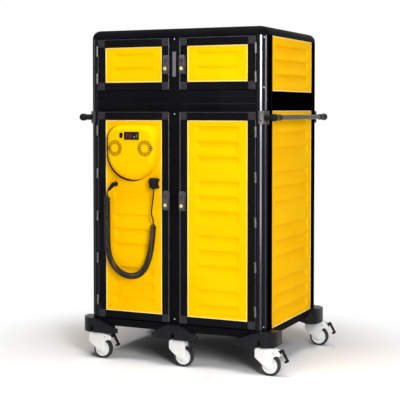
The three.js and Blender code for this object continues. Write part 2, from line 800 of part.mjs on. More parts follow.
// Least gap of the curly cord to itself, between points over two curls' quarter apart.
let leastGap = Infinity;
const wireRun = [0];
for (let i = 1; i < wirePoints.length; i += 1) {
  wireRun.push(wireRun[i - 1] + wirePoints[i].distanceTo(wirePoints[i - 1]));
}
for (let i = 0; i < wirePoints.length; i += 1) {
  for (let k = i + 1; k < wirePoints.length; k += 1) {
    if (wireRun[k] - wireRun[i] > 6 * wireRadius) {
      leastGap = Math.min(leastGap, wirePoints[i].distanceTo(wirePoints[k]) - 2 * wireRadius);
    }
  }
}
console.log(`curly cord: least gap to itself ${leastGap.toFixed(2)} mm, pitch ${curlPitch.toFixed(2)} mm`);
console.log(`curly cord: wire length ${wireRun[wireRun.length - 1].toFixed(0)} mm`);

// Free tail from the last curl up to the plug.
const coilEnd = wirePoints[wirePoints.length - 1];
const coilAway = axisCurve.getTangentAt(1);
const tailRoute = [
  coilEnd.clone().addScaledVector(coilAway, gap),
  coilEnd.clone().addScaledVector(coilAway, 9),
  ...[[-110, 732], [-113.5, 752], [-108, 795], [-103, 836], [-102, 859], [plugX, 868 - gap]].map(onDoor),
];
const tailCurve = new THREE.CatmullRomCurve3(tailRoute, false, 'centripetal');
const wireSection = new THREE.Shape(arc(0, 0, wireRadius, 0, 315, 7).map(([x, y]) => new THREE.Vector2(x, y)));
const tailGeometry = new THREE.ExtrudeGeometry(wireSection, {
  steps: 14, bevelEnabled: false, extrudePath: tailCurve,
});
add(cart, 'cord_tail', tailGeometry, blackCable());
console.log(`cord tail: ${tailCurve.getLength().toFixed(0)} mm`);

export default cart;
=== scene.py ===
import json
import math

import bmesh
import bpy
from mathutils import Matrix, Vector

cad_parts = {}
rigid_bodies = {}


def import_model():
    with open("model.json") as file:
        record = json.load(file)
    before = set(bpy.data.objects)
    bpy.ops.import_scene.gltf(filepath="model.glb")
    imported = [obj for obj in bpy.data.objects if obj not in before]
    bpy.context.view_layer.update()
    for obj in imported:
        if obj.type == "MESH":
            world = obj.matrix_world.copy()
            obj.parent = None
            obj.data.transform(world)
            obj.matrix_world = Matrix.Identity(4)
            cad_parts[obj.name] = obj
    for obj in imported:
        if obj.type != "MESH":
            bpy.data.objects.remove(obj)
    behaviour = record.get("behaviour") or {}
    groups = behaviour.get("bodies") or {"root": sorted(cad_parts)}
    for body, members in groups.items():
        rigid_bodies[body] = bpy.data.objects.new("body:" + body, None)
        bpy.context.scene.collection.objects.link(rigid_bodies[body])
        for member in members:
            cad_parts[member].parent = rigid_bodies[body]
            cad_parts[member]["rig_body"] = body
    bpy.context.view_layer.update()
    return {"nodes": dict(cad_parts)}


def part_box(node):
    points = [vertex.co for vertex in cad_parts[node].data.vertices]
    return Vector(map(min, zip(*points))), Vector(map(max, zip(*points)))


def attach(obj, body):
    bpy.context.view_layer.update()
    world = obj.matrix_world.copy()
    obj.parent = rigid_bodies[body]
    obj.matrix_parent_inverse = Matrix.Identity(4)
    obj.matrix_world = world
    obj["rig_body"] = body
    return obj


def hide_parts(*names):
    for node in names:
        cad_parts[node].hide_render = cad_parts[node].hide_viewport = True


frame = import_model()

# ---------------------------------------------------------------------------
# Camera. The photograph looks slightly down at the door side from front right,
# at standing eye height, through a long lens. Its optical axis lies above the
# middle of the square frame, so the frame is shifted down.
FRAME_PX = 400
FOCAL_PX = 1089.4
AXIS_ROW_PX = 151.7
photo_lens = bpy.data.cameras.new("photo_lens")
photo_lens.sensor_width = 36
photo_lens.lens = 36 * FOCAL_PX / FRAME_PX
photo_lens.shift_y = -(FRAME_PX / 2 - AXIS_ROW_PX) / FRAME_PX
photo_lens.clip_end = 60
camera = bpy.data.objects.new("photo_camera", photo_lens)
camera.location = (2.3084, -5.1614, 1.2559)
camera.rotation_euler = (math.radians(90 - 2.192), 0, math.radians(24.432))
bpy.context.collection.objects.link(camera)
bpy.context.scene.camera = camera
bpy.context.scene.view_settings.view_transform = "Standard"

# ---------------------------------------------------------------------------
# Curly mains cord. A round rubber-sheathed lead wound into a springy helix by
# the maker. It leaves the strain relief under the thermal unit, hangs in a U in
# front of the lower left door and rises, uncurled, to the plug in its holder.
CORD_PLANE = -0.407
WIRE_DIAMETER = 0.0073
CURL_RADIUS = 0.0126
CURL_COUNT = 84
STEPS_PER_CURL = 16
LEAD_LENGTH = 0.028
END_LENGTH = 0.009
FACE_GAP = 0.0003


def on_door(x, z):
    """A place in the cord's plane in front of the door, from millimetres."""
    return Vector((x / 1000, CORD_PLANE, z / 1000))


gland_exit = on_door(-352.5, 857)
gland_direction = Vector((-0.66, 0, -0.75)).normalized()
cord_axis = [
    gland_exit + gland_direction * FACE_GAP,
    gland_exit + gland_direction * (FACE_GAP + 0.008),
] + [on_door(x, z) for x, z in [
    (-360, 846), (-361.5, 832), (-361, 800), (-361, 700), (-360, 610), (-356, 556),
    (-342, 508), (-314, 468), (-279, 444), (-240, 433), (-205, 436), (-172, 452),
    (-147, 482), (-130, 522), (-118.5, 566), (-109.5, 630), (-104.5, 680), (-103.5, 708),
]]


def smooth_line(points, per_span):
    """Centripetal Catmull-Rom line through the points, as a dense list."""
    first = points[0] * 2 - points[1]
    last = points[-1] * 2 - points[-2]
    run = [first] + list(points) + [last]
    line = []
    for p0, p1, p2, p3 in zip(run, run[1:], run[2:], run[3:]):
        t1 = (p1 - p0).length ** 0.5
        t2 = t1 + (p2 - p1).length ** 0.5
        t3 = t2 + (p3 - p2).length ** 0.5
        for step in range(per_span):
            t = t1 + (t2 - t1) * step / per_span
            a1 = p0 * ((t1 - t) / t1) + p1 * (t / t1)
            a2 = p1 * ((t2 - t) / (t2 - t1)) + p2 * ((t - t1) / (t2 - t1))
            a3 = p2 * ((t3 - t) / (t3 - t2)) + p3 * ((t - t2) / (t3 - t2))
            b1 = a1 * ((t2 - t) / t2) + a2 * (t / t2)
            b2 = a2 * ((t3 - t) / (t3 - t1)) + a3 * ((t - t1) / (t3 - t1))
            line.append(b1 * ((t2 - t) / (t2 - t1)) + b2 * ((t - t1) / (t2 - t1)))
    line.append(points[-1].copy())
    return line


def spaced(line):
    """Distances along a line, and a function that gives point and direction at one."""
    runs = [0.0]
    for a, b in zip(line, line[1:]):
        runs.append(runs[-1] + (b - a).length)

    def at(distance):
        distance = min(max(distance, 0), runs[-1])
        low = max(i for i in range(len(runs) - 1) if runs[i] <= distance)
        share = (distance - runs[low]) / (runs[low + 1] - runs[low])
        return line[low].lerp(line[low + 1], share), (line[low + 1] - line[low]).normalized()

    return runs[-1], at


axis_length, axis_at = spaced(smooth_line(cord_axis, 12))
curl_pitch = (axis_length - LEAD_LENGTH - END_LENGTH) / CURL_COUNT


def wire_centre(distance):
    """Straight lead, then curls that open over a turn and a half, then straight."""
    centre, tangent = axis_at(distance)
    turns = (distance - LEAD_LENGTH) / curl_pitch
    inside = min(max(min(turns, CURL_COUNT - turns) / 1.5, 0), 1)
    swing = inside * inside * (3 - 2 * inside) * CURL_RADIUS
    outward = Vector((0, -1, 0))
    across = tangent.cross(outward)
    angle = 2 * math.pi * turns
    return centre + outward * swing * math.cos(angle) + across * swing * math.sin(angle)


curly_line = [wire_centre(LEAD_LENGTH * i / 6) for i in range(7)]
curly_line += [
    wire_centre(LEAD_LENGTH + curl_pitch * (i + 1) / STEPS_PER_CURL)
    for i in range(STEPS_PER_CURL * CURL_COUNT - 1)
]
curly_line += [wire_centre(axis_length - END_LENGTH), wire_centre(axis_length)]
tail_points = [curly_line[-1]] + [on_door(x, z) for x, z in [
    (-103.2, 717), (-110, 732), (-113.5, 752), (-108, 795), (-103, 836), (-102, 859), (-102, 867.7),
]]
cord_line = curly_line + smooth_line(tail_points, 8)[1:]

cord_curve = bpy.data.curves.new("mains_cord", "CURVE")
cord_curve.dimensions = "3D"
cord_curve.bevel_depth = WIRE_DIAMETER / 2
cord_curve.bevel_resolution = 3
cord_curve.use_fill_caps = True
spline = cord_curve.splines.new("POLY")
spline.points.add(len(cord_line) - 1)
for spot, place in zip(spline.points, cord_line):
    spot.co = (*place, 1)
mains_cord = bpy.data.objects.new("mains_cord", cord_curve)
bpy.context.collection.objects.link(mains_cord)


def linear(code):
    """An sRGB hex colour as linear RGBA."""
    channels = [int(code[i:i + 2], 16) / 255 for i in (1, 3, 5)]
    return tuple(c / 12.92 if c <= 0.04045 else ((c + 0.055) / 1.055) ** 2.4 for c in channels) + (1,)


def add_node(tree, kind, inputs=None, **settings):
    """Adds a node, sets it, and fills or links its input sockets."""
    node = tree.nodes.new(kind)
    for name, value in settings.items():
        setattr(node, name, value)
    for socket, value in (inputs or {}).items():
        if isinstance(value, bpy.types.NodeSocket):
            tree.links.new(value, node.inputs[socket])
        else:
            node.inputs[socket].default_value = value
    return node


def new_material(name):
    """An empty material: its tree, Object coordinates and an output node."""
    material = bpy.data.materials.new(name)
    material.use_nodes = True
    tree = material.node_tree
    tree.nodes.clear()
    place = add_node(tree, "ShaderNodeTexCoord").outputs["Object"]
    output = add_node(tree, "ShaderNodeOutputMaterial")
    return material, tree, place, output


def grained_finish(name, light, dark, blotch, grain, relief, roughness, settings):
    """A finish whose colour drifts between two hex colours over the blotch size, with
    a moulded or cast grain of the given size and relief, all in metres. Its gloss
    wanders with both, between two roughnesses. Settings are the shader's constants."""
    material, tree, place, output = new_material(name)
    drift = add_node(tree, "ShaderNodeTexNoise", {
        "Vector": place, "Scale": 1 / blotch, "Detail": 3.0, "Roughness": 0.55})
    speck = add_node(tree, "ShaderNodeTexNoise", {
        "Vector": place, "Scale": 1 / grain, "Detail": 2.0, "Roughness": 0.6})
    spread = add_node(tree, "ShaderNodeMapRange", {
        "Value": drift.outputs["Fac"], "From Min": 0.3, "From Max": 0.7})
    colour = add_node(tree, "ShaderNodeMix", {
        "Factor": spread.outputs["Result"], 6: linear(light), 7: linear(dark)}, data_type="RGBA")
    both = add_node(tree, "ShaderNodeMath", {
        0: drift.outputs["Fac"], 1: speck.outputs["Fac"]}, operation="ADD")
    gloss = add_node(tree, "ShaderNodeMapRange", {
        "Value": both.outputs["Value"], "From Min": 0.7, "From Max": 1.3,
        "To Min": roughness[0], "To Max": roughness[1]})
    bump = add_node(tree, "ShaderNodeBump", {
        "Height": speck.outputs["Fac"], "Strength": 1.0, "Distance": relief})
    shader = add_node(tree, "ShaderNodeBsdfPrincipled", {
        "Base Color": colour.outputs[2], "Roughness": gloss.outputs["Result"],
        "Normal": bump.outputs["Normal"], **settings})
    tree.links.new(shader.outputs["BSDF"], output.inputs["Surface"])
    return material


# Rubber cable sheath: extruded, half matt and slightly dusty, so it shows as soft
# black with a faint sheen along each curl.
cable_rubber = grained_finish(
    "cable_rubber", "#120D0F", "#1A1416", blotch=0.03, grain=0.0012, relief=0.00006,
    roughness=(0.28, 0.4), settings={"IOR": 1.5, "Specular IOR Level": 0.35})
cord_curve.materials.append(cable_rubber)


def polygon_prism(bm, outline, start, sweep):
    """A face through a few points, drawn out along a vector. Points are 3D."""
    corners = [bm.verts.new(Vector(point) + Vector(start)) for point in outline]
    face = bm.faces.new(corners)
    top = bmesh.ops.extrude_face_region(bm, geom=[face])
    moved = [item for item in top["geom"] if isinstance(item, bmesh.types.BMVert)]
    bmesh.ops.translate(bm, verts=moved, vec=Vector(sweep))
    bmesh.ops.recalc_face_normals(bm, faces=bm.faces)
    return corners + moved


def rod(bm, start, end, radius, sides, end_radius=None):
    """A round bar between two points."""
    start, end = Vector(start), Vector(end)
    along = end - start
    turn = Vector((0, 0, 1)).rotation_difference(along).to_matrix().to_4x4()
    place_there = Matrix.Translation((start + end) / 2) @ turn
    bmesh.ops.create_cone(
        bm, cap_ends=True, segments=sides, radius1=radius,
        radius2=radius if end_radius is None else end_radius, depth=along.length, matrix=place_there)


def box(bm, low, high):
    """A block between two corners."""
    low, high = Vector(low), Vector(high)
    size = Matrix.Diagonal((*(high - low), 1))
    bmesh.ops.create_cube(bm, size=1, matrix=Matrix.Translation((low + high) / 2) @ size)


def piece(name, bm, material, body, edge=0.0, rounds=2, angle=30, replaces=()):
    """Turns a bmesh into a finished piece that rides on a body. edge is the radius
    that its sharp edges are broken to."""
    bmesh.ops.recalc_face_normals(bm, faces=bm.faces)
    mesh = bpy.data.meshes.new(name)
    bm.to_mesh(mesh)
    bm.free()
    mesh.materials.append(material)
    mesh.shade_smooth()
    mesh.set_sharp_from_angle(angle=math.radians(angle))
    made = bpy.data.objects.new(name, mesh)
    bpy.context.collection.objects.link(made)
    if edge:
        broken = made.modifiers.new("broken_edges", "BEVEL")
        broken.width = edge
        broken.segments = rounds
        broken.limit_method = "ANGLE"
        broken.angle_limit = math.radians(angle)
        broken.harden_normals = False
    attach(made, body)
    if replaces:
        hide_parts(*replaces)
    return made


# ---------------------------------------------------------------------------
# Strain relief, plug and plug holder. Tapered rubber boot on a moulded foot;
# the plug is a black two-part moulding pushed up into a parking cup.
black_moulding = grained_finish(
    "moulded_black_nylon", "#131315", "#1C1C1F", blotch=0.08, grain=0.0009, relief=0.00005,
    roughness=(0.34, 0.5), settings={"IOR": 1.52, "Specular IOR Level": 0.06})

DOOR = "door_lower_left"
PANEL_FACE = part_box("door_panel_lower_left")[0][1]

FOOT_X = -0.327
FOOT_Z = 0.886
BOOT_LENGTH = 0.034
BOOT_RIB_PITCH = 0.0065
bm = bmesh.new()
rod(bm, gland_exit - gland_direction * BOOT_LENGTH, gland_exit, 0.0098, 24, 0.0064)
for step in range(4):
    centre = gland_exit - gland_direction * (0.004 + step * BOOT_RIB_PITCH)
    rod(bm, centre, centre - gland_direction * 0.0028, 0.0076 + step * 0.0007, 24)
foot_centre = Vector((FOOT_X, CORD_PLANE, FOOT_Z))
foot_root = (FOOT_X, PANEL_FACE - FACE_GAP, FOOT_Z)
rod(bm, foot_root, foot_centre, 0.0105, 28, 0.0095)
rod(bm, foot_root, (FOOT_X, PANEL_FACE - 0.003, FOOT_Z), 0.0128, 28)
bmesh.ops.create_uvsphere(bm, u_segments=24, v_segments=14, radius=0.0101,
                          matrix=Matrix.Translation(foot_centre))
strain_relief = piece("strain_relief", bm, black_moulding, DOOR, edge=0.0006,
                      replaces=("cord_gland",))

PLUG_X = -0.102
PLUG_RADIUS = 0.022
TAB_WIDTH = 0.022


def upright(bm, low, high, radius, sides, top_radius=None):
    """A round part of the plug or its holder, between two heights."""
    rod(bm, (PLUG_X, CORD_PLANE, low), (PLUG_X, CORD_PLANE, high), radius, sides, top_radius)


plug_low, plug_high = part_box("mains_plug")
plug_foot = plug_low[2]
bm = bmesh.new()
upright(bm, plug_foot + 0.008, plug_high[2], PLUG_RADIUS, 36)
upright(bm, plug_foot, plug_foot + 0.0095, 0.008, 28, 0.017)
for ring in range(3):
    upright(bm, plug_foot + 0.011 + ring * 0.005, plug_foot + 0.0132 + ring * 0.005, PLUG_RADIUS + 0.0006, 36)
tab = [(0.008, 0.0255), (0.0215, 0.0265), (0.0295, 0.0065), (0.0245, 0.0040), (0.0080, 0.0060)]
polygon_prism(bm, [(PLUG_X + x, CORD_PLANE - TAB_WIDTH / 2, plug_foot + z) for x, z in tab],
              (0, 0, 0), (0, TAB_WIDTH, 0))
plug = piece("plug_body", bm, black_moulding, DOOR, edge=0.0012, rounds=3,
             replaces=("mains_plug",))

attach(mains_cord, DOOR)
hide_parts("cord_coil", "cord_tail")

DOCK_RADIUS = 0.025
dock_low, dock_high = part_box("plug_dock")
dock_top = dock_high[2]
bm = bmesh.new()
upright(bm, dock_low[2], dock_top - 0.011, DOCK_RADIUS, 40)
upright(bm, dock_top - 0.011, dock_top - 0.004, DOCK_RADIUS, 40, 0.0215)
upright(bm, dock_top - 0.004, dock_top - 0.0006, 0.0215, 40, 0.015)
bmesh.ops.remove_doubles(bm, verts=bm.verts, dist=0.00001)
box(bm, (PLUG_X - 0.02, CORD_PLANE, 0.903), (PLUG_X + 0.02, PANEL_FACE - FACE_GAP, 0.920))
piece("plug_holder", bm, black_moulding, DOOR, edge=0.0015, rounds=3,
      replaces=("plug_dock",))

# ---------------------------------------------------------------------------
# Floor slab and roof. Rotation-moulded black polyethylene shells: the roof's
# edges roll over all round, and both have the cabinet's round corners.
CABINET = "cabinet"
SIDE_X = 0.475
FRONT_Y = 0.382
CORNER_RADIUS = 0.0475
CORNER_X = SIDE_X - CORNER_RADIUS
CORNER_Y = FRONT_Y - CORNER_RADIUS
BASE_TOP = 0.206
ROOF_BOTTOM = 1.6103

# Moulded polyethylene: near black, half matt, with an even leathery grain.
black_polyethylene = grained_finish(
    "rotomoulded_black_polyethylene", "#0D0D0F", "#131316", blotch=0.16, grain=0.0022, relief=0.00010,
    roughness=(0.34, 0.5), settings={"IOR": 1.5, "Specular IOR Level": 0.006})


def softened(node, name, material, edge, rounds=2):
    """A copy of a CAD node, merged, with its flat faces joined up and its edges
    broken, standing for that node."""
    bm = bmesh.new()
    bm.from_mesh(frame["nodes"][node].data)
    bmesh.ops.remove_doubles(bm, verts=bm.verts, dist=0.00002)
    bmesh.ops.dissolve_limit(bm, angle_limit=math.radians(1.5), verts=bm.verts, edges=bm.edges)
    body = frame["nodes"][node]["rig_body"]
    piece(name, bm, material, body, edge=edge, rounds=rounds, angle=40, replaces=(node,))


softened("base_frame", "floor_slab", black_polyethylene, edge=0.004, rounds=3)
softened("roof", "roof_shell", black_polyethylene, edge=0.0015)

# ---------------------------------------------------------------------------
# Corner posts and belt rails. Extruded aluminium, powder-coated black. A groove runs
# up the corner between two round lobes, each with a polished strip let in; the belts
# between the posts carry thin raised beads and, on the door side, a round rail.
POST_BOTTOM = 0.2063
POST_TOP = 1.61
POST_SIDE = 0.0917
POST_INNER = 0.065
REBATE = 0.0405
BELT_LOW = 1.253
BELT_HIGH = 1.346

# Powder coat: deep black, satin, with a faint orange peel and paler rubbed spots.
satin_black = grained_finish(
    "powder_coated_aluminium_black", "#1B1B1F", "#151518", blotch=0.22, grain=0.0030, relief=0.00003,
    roughness=(0.3, 0.44), settings={"Metallic": 1.0, "Specular Tint": linear("#808082")})

# Gloss powder coat of the corner posts: it flowed out smoother and shines more.
gloss_black = grained_finish(
    "gloss_powder_coat_black", "#242328", "#201F23", blotch=0.22, grain=0.0060, relief=0.00001,
    roughness=(0.18, 0.25), settings={"Metallic": 1.0, "Specular Tint": linear("#606064")})

# Bright zinc plating: nearly white metal with a fine bloom.
zinc_plate = grained_finish(
    "bright_zinc_plating", "#E6E6E4", "#CBCBC9", blotch=0.004, grain=0.0006, relief=0.00003,
    roughness=(0.3, 0.42), settings={"Metallic": 0.6})

# Polished strip let into each lobe of a post: dark anodised, near mirror bright.
polished_strip = grained_finish(
    "polished_anodised_strip", "#525255", "#4B4B4E", blotch=0.3, grain=0.0080, relief=0.00001,
    roughness=(0.15, 0.20), settings={"Metallic": 1.0, "Specular Tint": linear("#58585A")})


def corner_point(sign_x, sign_y, angle, radius):
    """A point round a corner post's axis. Angles run from the front face to the side."""
    turn = math.radians(angle)
    return (sign_x * (CORNER_X + radius * math.sin(turn)), sign_y * (CORNER_Y + radius * math.cos(turn)), 0)


def post_plan(sign_x, sign_y):
    """Plan of a corner post: two lobes with a groove between, a small notch where the
    end wall starts, and the square back that carries the wall."""
    lobe = [(angle, CORNER_RADIUS) for angle in (0, 5, 10, 15, 20, 25, 30, 34, 37.5)]
    groove = [(40.5, 0.0468), (42.5, 0.0440), (50.8, 0.0440), (51.6, 0.0452), (54.8, 0.0466)]
    far_lobe = [(angle, CORNER_RADIUS) for angle in (57, 60, 65, 70, 75, 80, 85, 90)]
    round_front = [corner_point(sign_x, sign_y, angle, r) for angle, r in lobe + groove + far_lobe]
    back = FRONT_Y - POST_SIDE
    square_back = [
        (SIDE_X, back + 0.016), (SIDE_X - 0.0012, back + 0.0152), (SIDE_X - 0.0012, back + 0.0128),
        (SIDE_X, back + 0.012), (SIDE_X, back), (SIDE_X - POST_INNER, back),
        (SIDE_X - POST_INNER, FRONT_Y - REBATE), (SIDE_X - CORNER_RADIUS, FRONT_Y - REBATE),
    ]
    return round_front + [(sign_x * x, sign_y * y, 0) for x, y in square_back]


# Where a strip starts, dips and stops round the post, and how far it stands proud.
POST_STRIPS = ((22, 27.5, 33, 0.0006), (56.5, 58.5, 60.5, 0.0003))
STRIP_ROOT = CORNER_RADIUS - 0.0012
WIRE_ANGLE = 58.5
RAIL_INNER_X = 0.445
BEAD_RADIUS = 0.0016
BEAD_END_Y = 0.287
LOW_BEAD_Z = 1.2665
BEAD_Z = 1.319
rail_end = FRONT_Y - POST_SIDE + 0.005
for side, sign in (("left", -1), ("right", 1)):
    bm = bmesh.new()
    for sign_y in (-1, 1):
        polygon_prism(bm, post_plan(sign, sign_y), (0, 0, POST_BOTTOM), (0, 0, POST_TOP - POST_BOTTOM))
    x0, x1 = sorted((sign * RAIL_INNER_X, sign * SIDE_X))
    box(bm, (x0, -rail_end, BELT_LOW + FACE_GAP), (x1, rail_end, BELT_HIGH - FACE_GAP))
    piece(f"corner_posts_{side}", bm, gloss_black, CABINET, edge=0.0008, angle=35,
          replaces=(f"frame_{side}",))
    bm = bmesh.new()
    for sign_y in (-1, 1):
        for start, middle, stop, proud in POST_STRIPS:
            plan = [(start, CORNER_RADIUS + proud), (middle, CORNER_RADIUS + proud / 2),
                    (stop, CORNER_RADIUS + proud), (stop, STRIP_ROOT), (start, STRIP_ROOT)]
            strip = [corner_point(sign, sign_y, angle, r) for angle, r in plan]
            polygon_prism(bm, strip, (0, 0, POST_BOTTOM + 0.003), (0, 0, POST_TOP - POST_BOTTOM - 0.004))
    piece(f"post_strips_{side}", bm, polished_strip, CABINET, edge=0.0003, rounds=1, angle=35)
    bm = bmesh.new()
    for sign_y in (-1, 1):
        x, y, _ = corner_point(sign, sign_y, WIRE_ANGLE, CORNER_RADIUS - 0.0004)
        rod(bm, (x, y, BELT_LOW + 0.005), (x, y, POST_TOP - 0.004), 0.0009, 14)
    piece(f"post_wires_{side}", bm, zinc_plate, CABINET)
    bm = bmesh.new()
    for height in (LOW_BEAD_Z, BEAD_Z):
        rod(bm, (sign * SIDE_X, -BEAD_END_Y, height), (sign * SIDE_X, BEAD_END_Y, height), BEAD_RADIUS, 12)
    piece(f"belt_beads_{side}", bm, satin_black, CABINET)

softened("front_grid", "centre_post", black_polyethylene, edge=0.0012)
softened("back_rail", "back_belt", satin_black, edge=0.0015)
BEAD_X = (0.030, 0.4265)
ROUND_RAIL_Z = 1.279
ROUND_RAIL_RADIUS = 0.0115
rail_y = -FRONT_Y + 0.0085
bm = bmesh.new()
for sign in (-1, 1):
    rod(bm, (sign * BEAD_X[0], -FRONT_Y, BEAD_Z), (sign * BEAD_X[1], -FRONT_Y, BEAD_Z), BEAD_RADIUS, 12)
rod(bm, (-BEAD_X[1], FRONT_Y, BEAD_Z), (BEAD_X[1], FRONT_Y, BEAD_Z), BEAD_RADIUS, 12)
for sign in (-1, 1):
    rod(bm, (sign * BEAD_X[0], rail_y, ROUND_RAIL_Z), (sign * BEAD_X[1], rail_y, ROUND_RAIL_Z),
        ROUND_RAIL_RADIUS, 28)
piece("belt_beads_front_and_back", bm, satin_black, CABINET)

# ---------------------------------------------------------------------------
# Bare plate on the centre post. A thin anodised strip glued on between the
# upper doors, brushed along its length and left blank.


def brushed_metal(name, light, dark, lines, relief, roughness):
    """A metal drawn or brushed along one axis. Lines are the lines in a metre along
    X, Y and Z, fewest along the axis of the brushing."""
    material, tree, place, output = new_material(name)
    stretch = add_node(tree, "ShaderNodeMapping", {"Vector": place, "Scale": lines})
    brush = add_node(tree, "ShaderNodeTexNoise", {
        "Vector": stretch.outputs["Vector"], "Scale": 1.0, "Detail": 2.0})
    colour = add_node(tree, "ShaderNodeMix", {
        "Factor": brush.outputs["Fac"], 6: linear(light), 7: linear(dark)}, data_type="RGBA")
    gloss = add_node(tree, "ShaderNodeMapRange", {
        "Value": brush.outputs["Fac"], "To Min": roughness[0], "To Max": roughness[1]})
    bump = add_node(tree, "ShaderNodeBump", {"Height": brush.outputs["Fac"], "Distance": relief})
    shader = add_node(tree, "ShaderNodeBsdfPrincipled", {
        "Base Color": colour.outputs[2], "Roughness": gloss.outputs["Result"],
        "Normal": bump.outputs["Normal"], "Metallic": 1.0})
    tree.links.new(shader.outputs["BSDF"], output.inputs["Surface"])
    return material


# Anodised aluminium: mid grey, satin, with fine upright brush lines.
dark_anodised = brushed_metal(
    "anodised_aluminium_dark", "#646366", "#8A898C", lines=(900, 900, 18), relief=0.00004,
    roughness=(0.28, 0.5))

PLATE_LOW = (-0.0108, -0.3812, 1.4185)
PLATE_HIGH = (0.0076, -0.3798, 1.5385)
bm = bmesh.new()
box(bm, PLATE_LOW, PLATE_HIGH)
piece("blank_plate", bm, dark_anodised, CABINET, edge=0.0005)

# ---------------------------------------------------------------------------
# Wall and door panels. Vacuum-formed yellow plastic skins over foam. Each rib is
# a pocket that steps in sharply at its top, runs out below and closes in a soft
# corner at each end. Ribs stand in threes, and a lip round each skin is painted pale as a highlight on its
# rim.
WALL_RIB_DEPTH = 0.0115
DOOR_RIB_DEPTH = {"lower": 0.0078, "upper": 0.0036}
RIB_MARGIN = 0.040
RIB_FADE = 0.023
RIB_DROP = 0.013
RIB_CORNER = 0.016
RIM_ROLL = 0.0007
RIM_REACH = 0.0022
LIP_WIDTH = 0.0056
LIP_INSET = 0.0002
LIP_FRONT = -0.0009
LIP_BACK = 0.0014

# ABS skin: strong warm yellow, satin, faintly uneven where it was stretched.
yellow_abs = grained_finish(
    "vacuum_formed_abs_yellow", "#FFC404", "#FDBB00", blotch=0.24, grain=0.0030, relief=0.00004,
    roughness=(0.34, 0.46), settings={"IOR": 1.53, "Specular IOR Level": 0.005})

# The same sheet on the lip at the rim, smoother, and painted paler than the skin: a painted highlight where
# the rolled-over rim catches the light.
rim_highlight_abs = grained_finish(
    "vacuum_formed_abs_painted_highlight_rim", "#FFE38E", "#FAD972", blotch=0.05, grain=0.0020, relief=0.00003,
    roughness=(0.3, 0.4), settings={"IOR": 1.53, "Specular IOR Level": 0.2})

# Each row of a rib: distance below its top, how far the row follows the drop at the
# ends, and its share of the full depth.
RIB_ROWS = [
    (-0.0100, 0.0, 0.0), (-0.0012, 0.9, 0.0), (0.0, 1.0, 0.06), (0.0018, 1.0, 0.42), (0.0036, 1.0, 0.82),
    (0.0054, 1.0, 0.98), (0.0078, 0.96, 1.0), (0.014, 0.86, 0.90), (0.024, 0.68, 0.70), (0.034, 0.48, 0.48),
    (0.044, 0.28, 0.27), (0.053, 0.12, 0.10), (0.060, 0.0, 0.0),
]

# Lines of the skin's grid: distances from its rim, and from where a rib may start.
RIM_STEPS = [0.0, 0.0006, 0.0022, 0.008, 0.024]
RIB_END_STEPS = [0, 0.002, 0.005, 0.0085, 0.0125, 0.017, 0.023, 0.032]


def soft_step(t):
    """0 below 0 and 1 above 1, with a smooth rise between."""
    t = min(max(t, 0), 1)
    return t * t * (3 - 2 * t)


def ribbed_panel(name, node, width, height, thickness, ribs, full_depth, place_there, body):
    """A ribbed skin that looks along -Y at y = 0 and stands on z = 0, moved into place,
    and its lip. Ribs are the heights of their tops."""
    half = width / 2
    left = [-half + step for step in RIM_STEPS + [RIB_MARGIN + step for step in RIB_END_STEPS]]
    columns = left + [left[-1] * share for share in (0.5, 0, -0.5)]
    columns += [-x for x in reversed(left)]
    rows = [(z, 0.0, 0.0) for z in RIM_STEPS] + [(height - z, 0.0, 0.0) for z in RIM_STEPS]
    for top in ribs:
        rows += [(top - below, follow, share) for below, follow, share in RIB_ROWS]
    rows.sort(key=lambda row: row[0])
    bm = bmesh.new()
    bmesh.ops.create_grid(bm, x_segments=len(columns) - 1, y_segments=len(rows) - 1, size=0.5)
    for vert in bm.verts:
        i = round((vert.co.x + 0.5) * (len(columns) - 1))
        j = round((vert.co.y + 0.5) * (len(rows) - 1))
        x, (z, follow, share) = columns[i], rows[j]
        inside = half - abs(x) - RIB_MARGIN
        round_off = 1 - min(max(inside / RIB_CORNER, 0), 1)
        drop = RIB_DROP * (1 - math.sqrt(max(1 - round_off ** 2, 0)))
        depth = full_depth * share * soft_step(inside / RIB_FADE)
        rim = min(half - abs(x), z, height - z)
        depth += RIM_ROLL * max(1 - rim / RIM_REACH, 0) ** 2
        vert.co = (x, depth, z - drop * follow)
    rim_edges = [e for e in bm.edges if e.is_boundary]
    back = bmesh.ops.extrude_edge_only(bm, edges=rim_edges)
    moved = [item for item in back["geom"] if isinstance(item, bmesh.types.BMVert)]
    for vert in moved:
        vert.co.y = thickness
    bmesh.ops.edgeloop_fill(bm, edges=[e for e in bm.edges if e.is_boundary])
    bmesh.ops.transform(bm, matrix=place_there, verts=bm.verts)
    piece(name, bm, yellow_abs, body, angle=32, replaces=(node,))
    # The lip is painted paler than the skin: a painted highlight along its rim.
    bm = bmesh.new()
    inner_x, inner_z = half - LIP_WIDTH, height - LIP_WIDTH
    for x0, x1, z0, z1 in ((-half, half, 0, LIP_WIDTH), (-half, half, inner_z, height),
                           (-half, -inner_x, LIP_WIDTH, inner_z), (inner_x, half, LIP_WIDTH, inner_z)):
        box(bm, (x0 + LIP_INSET, LIP_FRONT, z0 + LIP_INSET), (x1 - LIP_INSET, LIP_BACK, z1 - LIP_INSET))
    bmesh.ops.transform(bm, matrix=place_there, verts=bm.verts)
    piece(name + "_lip", bm, rim_highlight_abs, body, edge=0.0007)


RIB_PITCH = 73
GROUP_PITCH = 264


def rib_groups(first, counts):
    """Heights of the tops of ribs in groups, in millimetres, from the topmost down."""
    tops = []
    for group, count in enumerate(counts):
        tops += [first - group * GROUP_PITCH - i * RIB_PITCH for i in range(count)]
    return tops


